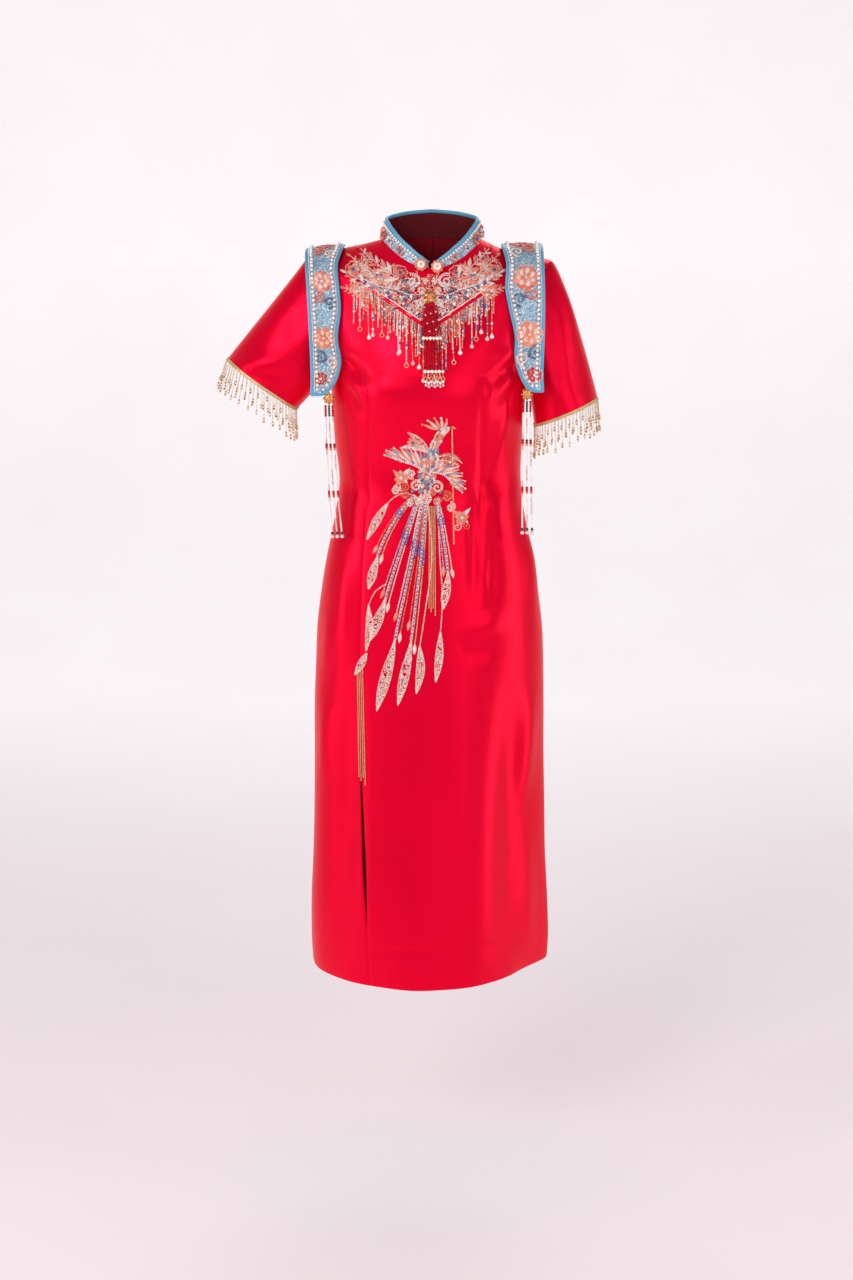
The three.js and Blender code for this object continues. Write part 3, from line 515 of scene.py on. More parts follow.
def folds(face: Face, *rows: Sequence[float]) -> Tuple[Crease, ...]:
    """Creases of one face, from rows of both ends, width, rise and, if need be, fade."""
    return tuple(Crease(face, *row) for row in rows)


# ---- meshes -------------------------------------------------------------------------------------


def quads(rows: int, columns: int, loop: Tuple[bool, bool] = (False, False)) -> Array:
    """Faces of a grid of points, whose rows and columns may close on themselves."""
    index = np.arange(rows * columns).reshape(rows, columns)
    if loop[0]:
        index = np.vstack([index, index[:1]])
    if loop[1]:
        index = np.hstack([index, index[:, :1]])
    corners = (index[:-1, :-1], index[:-1, 1:], index[1:, 1:], index[1:, :-1])
    return np.stack(corners, -1).reshape(-1, 4)


class Shape:
    """A small closed form that is repeated in a mesh."""

    PETAL_ROWS, PETAL_COLUMNS = 7, 5

    def __init__(
        self, verts: Array, fours: object = (), threes: object = (), uv: Optional[Array] = None
    ) -> None:
        """Keeps the points, the faces of four and of three corners, and the cloth coordinates."""
        self.verts = np.array(verts, float).reshape(-1, 3)
        self.quads = np.array(fours, int).reshape(-1, 4)
        self.tris = np.array(threes, int).reshape(-1, 3)
        self.uv = self.verts[:, :2] if uv is None else uv

    @classmethod
    def lathe(cls, profile: Sequence[Spot], sides: int) -> "Shape":
        """A closed form from a profile of radius and height, from its foot to its top."""
        radius, height = np.array(profile, float).T[..., None]
        turns = np.arange(sides) * FULL_TURN / sides
        top = (len(profile) - 1) * sides
        ends = [face for c in range(1, sides - 1)
                for face in ((0, c + 1, c), (top, top + c, top + c + 1))]
        return cls(vectors(radius * np.cos(turns), radius * np.sin(turns), height),
                   quads(len(profile), sides, (False, True)), ends)

    @classmethod
    def ball(cls, subdivisions: int) -> "Shape":
        """A round bead of radius 1."""
        mesh = bmesh.new()
        bmesh.ops.create_icosphere(mesh, subdivisions=subdivisions, radius=1)
        verts = [tuple(v.co) for v in mesh.verts]
        faces = [[v.index for v in f.verts] for f in mesh.faces]
        mesh.free()
        return cls(verts, threes=faces)

    @classmethod
    def ring(cls, thick: float, sides: int, round_sides: int) -> "Shape":
        """A ring of radius 1 in the tangent plane, as thick as given."""
        a = np.arange(sides)[:, None] * FULL_TURN / sides
        b = np.arange(round_sides) * FULL_TURN / round_sides
        reach = 1 + thick * np.cos(b)
        verts = vectors(reach * np.cos(a), reach * np.sin(a), thick * np.sin(b))
        return cls(verts, quads(sides, round_sides, (True, True))[:, [0, 3, 2, 1]])

    @classmethod
    def petal(cls, point: float = 1.0, curl: float = 0.0) -> "Shape":
        """A padded petal or leaf of length 1 along +Y and width 1, from its root at the origin.

        Args:
            point: how sharp its tip is, from 0.5 for an oval.
            curl: sideways drift of its tip.

        Returns:
            The form, flat below and rounded above, with a rise of 1.
        """
        t = np.linspace(0, 1, cls.PETAL_ROWS)[:, None]
        s = np.linspace(-1, 1, cls.PETAL_COLUMNS)
        wide = 0.5 * np.sin(math.pi * np.minimum(1, t * 0.93 + 0.035)) ** point
        rise = (1 - np.abs(s) ** 2.2) * np.sin(math.pi * (0.06 + 0.88 * t)) ** 0.6
        uv = np.stack(np.broadcast_arrays(s * 0.004, t * 0.012), -1).reshape(-1, 2)
        return cls(vectors(wide * s + curl * t * t, t, rise),
                   quads(cls.PETAL_ROWS, cls.PETAL_COLUMNS), uv=uv)


def upright(profile: Sequence[Tuple[float, float]], sides: int) -> Shape:
    """A turned form whose axis lies along its own Y, as for a bead on a hanging thread."""
    made = Shape.lathe(profile, sides)
    made.verts = made.verts[:, [0, 2, 1]] * [1, 1, -1]
    return made


SEED = Shape.ball(1)
ROUND = Shape.ball(2)
BUGLE = upright([(0.7, 0), (1, 0.08), (1, 0.92), (0.7, 1)], 6)
DROP = upright([(0.15, 0), (0.8, 0.35), (1, 0.9), (0.75, 1.5), (0.32, 2.1), (0.12, 2.5)], 8)
DISH = Shape.lathe([(0.95, 0), (1, 0.1), (0.45, 0.24), (0.2, 0.16)], 7)
GEM = Shape.lathe([(0.9, 0), (1, 0.3), (0.6, 0.75)], 8)
LOOP = Shape.ring(0.2, 10, 4)
PETAL = Shape.petal(0.75)
BROAD_PETAL = Shape.petal(0.5)
LEAF = Shape.petal(1.25, curl=0.18)
LEAF_BACK = Shape.petal(1.25, curl=-0.18)


class Batch:
    """Gathers many small forms into one mesh, each with its finish."""

    def __init__(self, name: str) -> None:
        """Starts an empty batch."""
        self.name = name
        self.finishes: List[Finish] = []
        self.verts: List[Array] = []
        self.uv: List[Array] = []
        self.faces: Dict[int, List[Array]] = {n: [np.zeros((0, n), int)] for n in (4, 3)}
        self.marks: Dict[int, List[Array]] = {4: [], 3: []}
        self.count = 0

    def keep(self, points: Array, uv: Array, faces: Sequence[Array], finish: Finish) -> None:
        """Keeps points with the faces between them, all of one finish."""
        if finish not in self.finishes:
            self.finishes.append(finish)
        for group in faces:
            corners = group.shape[1]
            self.faces[corners].append(group + self.count)
            self.marks[corners].append(np.full(len(group), self.finishes.index(finish)))
        self.verts.append(points.reshape(-1, 3))
        self.uv.append(uv.reshape(-1, 2))
        self.count += len(self.verts[-1])

    def add(
        self, shape: Shape, places: Array, axes: Array, sizes: Union[float, Array], finish: Finish
    ) -> None:
        """Adds one form at each of several places.

        Args:
            shape: the form.
            places: its places, one per row.
            axes: for each place a matrix whose columns are the form's own X, Y and Z.
            sizes: one size, or one for each place, or one for each place and axis.
            finish: the finish of all of them.
        """
        places = np.atleast_2d(places)
        count = len(places)
        if not count:
            return
        sizes = np.array(sizes, float)
        if sizes.ndim == 1:
            sizes = sizes[:, None]
        sizes = np.broadcast_to(sizes, (count, 3))
        local = shape.verts[None] * sizes[:, None, :]
        points = np.einsum("nij,nkj->nki", np.broadcast_to(axes, (count, 3, 3)), local)
        starts = len(shape.verts) * np.arange(count)[:, None, None]
        faces = [(group[None] + starts).reshape(-1, group.shape[1])
                 for group in (shape.tris, shape.quads)]
        self.keep(points + places[:, None], np.tile(shape.uv, (count, 1)), faces, finish)

    def ring(
        self, centre: Array, axes: Array, count: int, reach: float, rise: float,
        size: Union[float, Row], finish: Finish, shape: Shape = ROUND, start: float = 0.0,
    ) -> None:
        """Adds beads in a ring, or a single one where the ring has no reach.

        Args:
            centre: the ring's middle.
            axes: the matrix of its own X, Y and Z.
            count: how many beads.
            reach: the ring's radius.
            rise: its height along Z.
            size: a bead's radius, or its size on each axis.
            finish: the beads' finish.
            shape: their form.
            start: turn of the first one.
        """
        spots = reach * circle(start + np.arange(count) * FULL_TURN / count)
        places = centre + np.column_stack([spots, np.full(count, rise)]) @ axes.reshape(3, 3).T
        self.add(shape, places, axes, np.broadcast_to(np.array(size, float), (count, 3)), finish)

    def grid(
        self, points: Array, finish: Finish, uv: Array, loop: Tuple[bool, bool] = (False, False)
    ) -> None:
        """Adds a grid of points as a surface.

        Args:
            points: rows and columns of points.
            finish: its finish.
            uv: cloth coordinates in metres, of the same rows and columns.
            loop: whether the rows and the columns close on themselves.
        """
        self.keep(points, uv, [quads(*points.shape[:2], loop)], finish)

    def build(
        self, slot: str, replaces: Sequence[str] = (), crisp: Optional[float] = None
    ) -> bpy.types.Object:
        """Makes the mesh, and has it ride on the part.

        Args:
            slot: the record's material slot; not used.
            replaces: the solids that it stands for.
            crisp: angle in radians above which an edge stays sharp; points that meet are joined.

        Returns:
            The new object.
        """
        faces = [np.concatenate(self.faces[corners]) for corners in (4, 3)]
        sizes = np.repeat((4, 3), [len(group) for group in faces])
        loops = np.concatenate([group.ravel() for group in faces])
        marks = np.concatenate(self.marks[4] + self.marks[3])
        mesh = bpy.data.meshes.new(self.name)
        for store, name, values, kind in (
            (mesh.vertices, "co", np.concatenate(self.verts) * MM, np.float32),
            (mesh.loops, "vertex_index", loops, np.int32),
            (mesh.polygons, "loop_start", np.cumsum(sizes) - sizes, np.int32),
            (mesh.polygons, "material_index", marks, np.int32),
        ):
            store.add(len(values) - len(store))
            store.foreach_set(name, values.astype(kind).ravel())
        mesh.update(calc_edges=True)
        mesh.uv_layers.new(name="cloth")
        uv = np.concatenate(self.uv)[loops]
        mesh.uv_layers[0].data.foreach_set("uv", uv.astype(np.float32).ravel())
        for finish in self.finishes:
            mesh.materials.append(finish.material())
        if crisp is not None:
            joined = bmesh.new()
            joined.from_mesh(mesh)
            bmesh.ops.remove_doubles(joined, verts=joined.verts, dist=1e-6)
            bmesh.ops.recalc_face_normals(joined, faces=joined.faces)
            joined.to_mesh(mesh)
            joined.free()
        mesh.shade_smooth()
        if crisp is not None:
            mesh.set_sharp_from_angle(angle=crisp)
        made = bpy.data.objects.new(self.name, mesh)
        bpy.context.scene.collection.objects.link(made)
        if replaces:
            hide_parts(*replaces)
        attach(made, "root")
        LOG.info("%s: %d faces", self.name, len(sizes))
        return made


def spread_normals(points: Array, loop: bool = False) -> Array:
    """Directions out of a grid of points whose rows go up and whose columns go round."""
    if loop:
        across = np.roll(points, -1, axis=1) - np.roll(points, 1, axis=1)
    else:
        across = np.gradient(points, axis=1)
    return unit(np.cross(np.gradient(points, axis=0), across))


@dataclass
class Cloth:
    """A piece of cloth with a wall: a grid of points, its inner face and its edges."""

    name: str
    points: Array
    wall: float
    outside: Finish
    inside: Finish
    slot: str
    loop: bool = False
    outward: float = 1.0

    CRISP = math.radians(50)

    def lengths(self) -> Tuple[Array, Array]:
        """Distances along the rows and up the columns from their middles, in metres."""
        u = walked(self.points, 1)
        return (u - u.mean(axis=1, keepdims=True)) * MM, walked(self.points) * MM

    def cut(self) -> Tuple[float, float, float]:
        """Width, length and area of the flat cloth that the piece is cut from, in metres."""
        u, v = self.lengths()
        closed = np.linalg.norm(self.points[:, 0] - self.points[:, -1], axis=1).max() * MM
        wide = float((u[:, -1] - u[:, 0]).max() + (closed if self.loop else 0))
        long = float(v[-1].max())
        a, b = self.points[:-1, :-1], self.points[1:, 1:]
        c, d = self.points[:-1, 1:], self.points[1:, :-1]
        area = float(np.linalg.norm(np.cross(b - a, d - c), axis=-1).sum() / 2 * MM * MM)
        return wide, long, min(area, wide * long)

    def build(self, replaces: str, held: str, *rests_on: str) -> None:
        """Args:
            replaces: the solid that it stands for.
            held: how the sheet is held; not used.
            rests_on: what it lies on or hangs from; not used.
        """
        outer = self.points
        inner = outer - spread_normals(outer, self.loop) * self.outward * self.wall
        uv = np.stack(self.lengths(), -1)
        batch = Batch(self.name)
        batch.grid(outer, self.outside, uv, (False, self.loop))
        batch.grid(inner, self.inside, uv, (False, self.loop))
        edges = [np.s_[0], np.s_[-1]] + ([] if self.loop else [np.s_[:, 0], np.s_[:, -1]])
        for edge in edges:
            strip = np.stack([outer[edge], inner[edge]])
            batch.grid(strip, self.outside, np.stack([uv[edge]] * 2), (False, self.loop))
        made = batch.build(self.slot, [replaces], self.CRISP)
        wide, long, area = self.cut()
        LOG.info("%s is cut from %.3f x %.3f m, %.3f m2", self.name, wide, long, area)


def sweep(
    batch: Batch, path: Array, out: Array, wide: float, thick: float, finish: Finish,
    loop: bool = False, sides: int = 8,
) -> None:
    """Adds a cord or rolled strip along a path.

    Args:
        batch: the mesh that it goes into.
        path: points of its middle line.
        out: the way its thickness points at each of them.
        wide: its width.
        thick: its thickness.
        finish: its finish.
        loop: whether it closes on itself.
        sides: points round its section.
    """
    around = np.roll(path, -1, axis=0) - np.roll(path, 1, axis=0)
    ahead = unit(around if loop else np.gradient(path, axis=0))
    aside = unit(np.cross(ahead, out))
    up = np.cross(aside, ahead)
    turns = np.arange(sides) * FULL_TURN / sides
    cos, sin = np.cos(turns), np.sin(turns)
    x = np.sign(cos) * np.abs(cos) ** CORD_SQUARE * wide / 2
    y = np.sign(sin) * np.abs(sin) ** CORD_SQUARE * thick / 2
    points = path[:, None] + aside[:, None] * x[None, :, None] + up[:, None] * y[None, :, None]
    reach = walked(path)[:, None]
    uv = np.stack(np.broadcast_arrays(turns * wide / 6, reach), -1) * MM
    batch.grid(points, finish, uv, (loop, True))
    if not loop:
        for end in (0, -1):
            cap = np.stack([points[end], np.tile(path[end], (sides, 1))])
            batch.grid(cap, finish, np.stack([uv[end]] * 2), (False, True))


# ---- the worn form ------------------------------------------------------------------------------


class Side(Enum):
    """Side of the dress, as the viewer in front sees it."""

    LEFT = "left"
    RIGHT = "right"

    @property
    def sign(self) -> int:
        """Direction of the side along X."""
        return -1 if self is Side.LEFT else 1


SECTIONS = Table("side front back half shift fore aft flat left right droop", (
    (-1127, -1134, -1124, 186, -2, 150, 122, 2.2, 0.56, 1.0, 0),
    (-1087, -1092, -1086, 188, -2, 148, 121, 2.2, 0.55, 0.97, 0),
    (-1018, -1018, -1018, 186.5, -3, 143, 120, 2.2, 0.54, 0.92, 0),
    (-951, -951, -951, 183, -3, 137, 119, 2.2, 0.53, 0.86, 0),
    (-870, -870, -870, 181, -2, 130, 118, 2.2, 0.52, 0.8, 0),
    (-790, -790, -790, 179.5, -1.5, 124, 118, 2.2, 0.5, 0.73, 0),
    (-715, -715, -715, 179, -1, 119, 118, 2.2, 0.5, 0.66, 0),
    (-645, -645, -645, 177, 0, 115, 119, 2.2, 0.5, 0.6, 0),
    (-590, -590, -590, 174.5, 0, 112, 119, 2.2, 0.5, 0.56, 0),
    (-540, -540, -540, 168.5, 0, 108, 117, 2.2, 0.5, 0.53, 0),
    (-487, -487, -487, 160.5, 0.5, 104, 110, 2.2, 0.5, 0.5, 0),
    (-426, -426, -426, 147.5, 0, 98, 99, 2.2, 0.5, 0.5, 0),
    (-364, -364, -364, 139.5, 0.5, 94, 89, 2.2, 0.5, 0.5, 0),
    (-306, -306, -306, 143, -2, 103, 90, 2.3, 0.5, 0.5, 0),
    (-266, -266, -266, 146, -2, 115, 94, 2.4, 0.5, 0.5, 0),
    (-230, -230, -230, 148, -2, 122, 98, 2.4, 0.5, 0.5, 0),
    (-202, -200, -202, 150, -1, 120, 101, 2.4, 0.5, 0.5, 0),
    (-160, -172, -165, 158, 0, 114, 104, 2.3, 0.5, 0.5, 0),
    (-115, -143, -128, 168, 0, 105, 105, 2.2, 0.5, 0.5, 0),
    (-72, -116, -95, 177, 0, 95, 103, 2.1, 0.5, 0.5, 0),
    (-40, -94, -68, 184, 0, 87, 97, 2, 0.5, 0.5, 2),
    (-27, -80, -50, 184, 0, 82, 90, 2, 0.5, 0.5, 5),
    (-20, -68, -34, 158, 1, 77, 80, 2, 0.5, 0.5, 7),
    (-13, -58, -20, 130, 2, 73, 71, 2, 0.5, 0.5, 8),
    (-7, -50, -8, 102, 3, 70, 62, 2, 0.5, 0.5, 6),
    (0, -42, 4, 75, 3, 66, 55, 2, 0.5, 0.5, 0),
))
SLIT_SEAM = Table("z x", (
    (-1136, -92), (-1002, -99), (-828, -106), (-688, -108), (-476, -103), (-377, -94),
    (-229, -91), (-200, -103), (-172, -132), (-156, -148),
))
SLIT_GAP = Table("z wide", (
    (-1136, -0.4), (-1056, -0.4), (-990, 5), (-950, 7), (-820, 3.4), (-690, 1.2), (-672, -0.2),
))

ARMPIT, SHOULDER, NECK = 16, 21, 25
ARMHOLE_TURN = math.radians(29)
SEAM = -0.2
WALL = 1.4


@dataclass
class DressForm:
    """The surface on which the dress is worn, with the soft creases of its cloth.

    A turn is 0 at +X, a quarter at the front and a half at -X; a level is a row of SECTIONS.
    """

    creases: Tuple[Crease, ...]
    depth: float = 2.0
    flute: float = 2.4

    def bare(self, turn: Array, level: Array) -> Array:
        """Points of the surface without creases."""
        value: Callable[[str], Array] = lambda column: SECTIONS.smooth(level, column)
        cos, sin = np.cos(turn), np.sin(turn)
        front = sin >= 0
        end = np.where(front, value("front"), value("back"))
        height = value("side") + (end - value("side")) * sin**2
        corner = np.where(cos < 0, value("left"), value("right"))
        full = np.maximum(0, 1 - np.abs(cos) ** value("flat")) ** corner
        y = np.where(front, -value("fore") * full, -value("aft") * sin)
        z = height - value("droop") * np.maximum(0, cos)
        return vectors(value("shift") + value("half") * cos, y, z)

    def normal(self, turn: Array, level: Array) -> Array:
        """Directions out of the bare surface."""
        wide = 0.04
        around = self.bare(turn + wide, level) - self.bare(turn - wide, level)
        above, below = np.minimum(level + wide, NECK), np.maximum(level - wide, 0)
        return unit(np.cross(self.bare(turn, above) - self.bare(turn, below), around))

    def relief(self, points: Array) -> Array:
        """How far the creases and the skirt's soft flutes move the cloth out."""
        total = self.depth * sum(crease.height(points) for crease in self.creases)
        x, y, z = points[..., 0], points[..., 1], points[..., 2]
        fall = ease((-z - 560) / 420)
        around = np.arctan2(x, -y)
        flutes = np.sin(around * 7 + z * 0.004 + 1.1) + 0.6 * np.sin(around * 11 - z * 0.003)
        return total + self.flute * fall * flutes * 0.7

    def surface(self, turn: Array, level: Array) -> Array:
        """Points of the creased surface."""
        turn, level = np.broadcast_arrays(np.asarray(turn, float), np.asarray(level, float))
        points = self.bare(turn, level)
        return points + self.normal(turn, level) * self.relief(points)[..., None]

    def turn_at(self, x: Array, level: Array) -> Array:
        """Turn at which a level's section passes a sideways place, on the front."""
        reach = (x - SECTIONS.smooth(level, "shift")) / SECTIONS.smooth(level, "half")
        return np.arccos(np.clip(reach, -1, 1))

    def level_at(self, x: Array, z: Array) -> Array:
        """Level at which the front passes a sideways place and a height."""
        low, high = np.zeros_like(x), np.full_like(x, NECK)
        for _ in range(22):
            middle = (low + high) / 2
            inside = self.bare(self.turn_at(x, middle), middle)[..., 2] > z
            low, high = np.where(inside, low, middle), np.where(inside, middle, high)
        return high

    def armhole(self, level: Array) -> Array:
        """How far the armhole cuts in from the side at a level, as a turn."""
        part = np.clip((level - ARMPIT) / (SHOULDER - ARMPIT), 0, 1)
        return ARMHOLE_TURN * np.maximum(np.sin(math.pi * part), 0) ** 0.55

    def slit(self, level: Array) -> Array:
        """Turn of the seam that ends in the slit."""
        turn = np.full_like(level, math.pi * 0.7)
        for _ in range(8):
            turn = self.turn_at(SLIT_SEAM.look("z", self.bare(turn, level)[..., 2], "x"), level)
        return turn

    def beside(self, turn: Array, level: Array, distance: Array) -> Array:
        """Turn that lies a distance to one side of another, along the section."""
        step = 0.01
        passed = self.bare(turn + step, level) - self.bare(turn - step, level)
        return turn + distance * 2 * step / np.maximum(np.linalg.norm(passed, axis=-1), 1e-6)


CREASES = folds(
    Face.FRONT,
    (78, -205, 78, -530, 2.6, -1.3), (80, -215, 82, -500, 17, -1.6),
    (66, -388, 67, -536, 5.5, -1.7), (77, -400, 80, -545, 6, 1.2), (96, -470, 92, -540, 8, -1.0),
    (84, -556, 96, -590, 19, 2.2), (52, -604, 96, -622, 12, -1.5), (112, -250, 108, -330, 7, 1.2),
    (150, -392, 163, -560, 8, 1.8), (-108, -262, -112, -450, 11, 1.2),
    (-124, -470, -134, -600, 6, 1.3), (-150, -560, -160, -660, 6, 1.2),
    (-160, -700, -163, -830, 6, 1.8), (-138, -160, -98, -178, 6, 2.0),
    (-138, -178, -92, -204, 6, -2.0), (-136, -196, -96, -226, 5, 2.0),
    (-128, -214, -102, -256, 5, -1.7), (-84, -196, -64, -240, 14, 1.6),
    (-108, -214, -96, -250, 4, 1.2), (130, -160, 98, -182, 6, 2.0),
    (134, -180, 90, -208, 6, -2.0), (130, -198, 94, -232, 5, 1.7),
    (124, -222, 100, -262, 5, -1.3), (92, -214, 83, -250, 5, 1.3),
    (-70, -330, 10, -352, 16, -1.4), (60, -372, 134, -352, 12, -1.6),
    (66, -398, 138, -392, 11, 1.5), (-134, -372, -84, -384, 9, -1.5),
    (-136, -470, -140, -660, 14, 2.4), (-120, -640, -136, -1080, 13, -2.4),
    (156, -690, 144, -860, 9, 2.8), (150, -900, 156, -1110, 9, 2.2),
    (128, -640, 118, -1110, 14, -2.4), (96, -700, 90, -1100, 18, 1.6),
    (46, -640, 40, -1100, 26, 1.8), (-40, -720, -46, -1110, 22, -1.6),
    (-88, -1074, 150, -1074, 2.4, -0.5, 0.0),
) + folds(
    Face.BACK,
    (-76, -200, -80, -520, 2.6, -1.2), (76, -200, 80, -520, 2.6, -1.2),
    (-120, -170, -60, -230, 12, 2.2), (124, -176, 66, -226, 12, 2.0),
    (-118, -355, -24, -372, 10, -2.2), (20, -378, 122, -362, 11, -2.0),
    (-110, -386, -30, -396, 10, 1.8), (28, -402, 112, -390, 12, 1.6),
    (-70, -600, -84, -1090, 20, -3.0), (-20, -640, -34, -1100, 18, 2.2),
    (60, -610, 74, -1090, 22, 2.8), (112, -640, 120, -1100, 16, -2.4),
    (-170, -1074, 170, -1074, 2.4, -0.5, 0.0),
)
SLEEVE_CREASES = folds(
    Face.FRONT,
    (-302, -186, -212, -180, 9, 3.0), (-290, -204, -198, -206, 8, -2.6),
    (-246, -230, -190, -226, 6, -2.8), (-192, -100, -214, -150, 8, -2.2),
    (-210, -86, -252, -150, 12, 1.6), (204, -60, 226, -140, 10, 2.8),
    (184, -96, 192, -216, 8, -2.8), (216, -150, 232, -236, 9, -2.0),
    (178, -196, 210, -262, 10, 2.2),
) + folds(
    Face.BACK,
    (-200, -100, -256, -190, 11, -3.0), (-226, -100, -290, -180, 10, 2.2),
    (-196, -170, -246, -226, 9, 2.4), (190, -90, 206, -214, 10, -2.8),
    (206, -80, 236, -200, 10, 2.4), (172, -160, 190, -250, 9, 2.0),
)
FORM = DressForm(CREASES)


# ---- grounds for beadwork -----------------------------------------------------------------------


def frames(normals: Array, ups: Array) -> Array:
    """Matrices whose columns point across, up and out, from directions out and roughly up."""
    out, ups = np.broadcast_arrays(unit(normals), ups)
    across = unit(np.cross(ups, out))
    return np.stack([across, np.cross(out, across), out], axis=-1)


def spun(axes: Array, angle: Array) -> Array:
    """Matrices turned about their own Z by angles, so that their Y leans to the left."""
    cos, sin = np.cos(angle)[..., None], np.sin(angle)[..., None]
    x, y, z = axes[..., 0], axes[..., 1], axes[..., 2]
    return np.stack([x * cos + y * sin, y * cos - x * sin, z], axis=-1)


def tipped(axes: Array, chance: Chance, amount: float) -> Array:
    """Matrices whose Z leans a little, each its own way."""
    out = axes[..., 2] + chance.normal(0, amount, axes[..., 2].shape)
    return frames(out, axes[..., 1])


class Ground:
    """A surface that beadwork is sewn on, with places in millimetres across and up."""

    def at(self, across: Array, up: Array, lift: float) -> Tuple[Array, Array]:
        """Places at a height above the surface, and the axes there."""
        raise NotImplementedError


@dataclass
class FrontGround(Ground):
    """The front of the dress, by sideways place and height."""

    form: DressForm

    def at(self, across: Array, up: Array, lift: float) -> Tuple[Array, Array]:
        """Places at a height above the surface, and the axes there."""
        across, up = numbers(across, up)
        level = self.form.level_at(across, up)
        turn = self.form.turn_at(across, level)
        normals = self.form.normal(turn, level)
        places = self.form.surface(turn, level) + normals * lift
        return places, frames(normals, np.array([0.0, 0.0, 1.0]))

    def hang(self, tops: Array, feet: Array, rows: int, lift: Array) -> Array:
        """Lines that rest on the front and hang straight where it recedes.

        Args:
            tops: sideways place and height of each line's top.
            feet: the same of its foot.
            rows: points on each line.
            lift: distance of each line from the surface.

        Returns:
            The lines' points.
        """
        share = np.linspace(0, 1, rows)[None, :, None]
        spots = tops[:, None] * (1 - share) + feet[:, None] * share
        places, _ = self.at(spots[..., 0].ravel(), spots[..., 1].ravel(), 0)
        points = places.reshape(len(tops), rows, 3)
        points[..., 1] = np.minimum.accumulate(points[..., 1], axis=1) - np.reshape(lift, (-1, 1))
        points[..., 0], points[..., 2] = spots[..., 0], spots[..., 1]
        return points


FRONT = FrontGround(FORM)


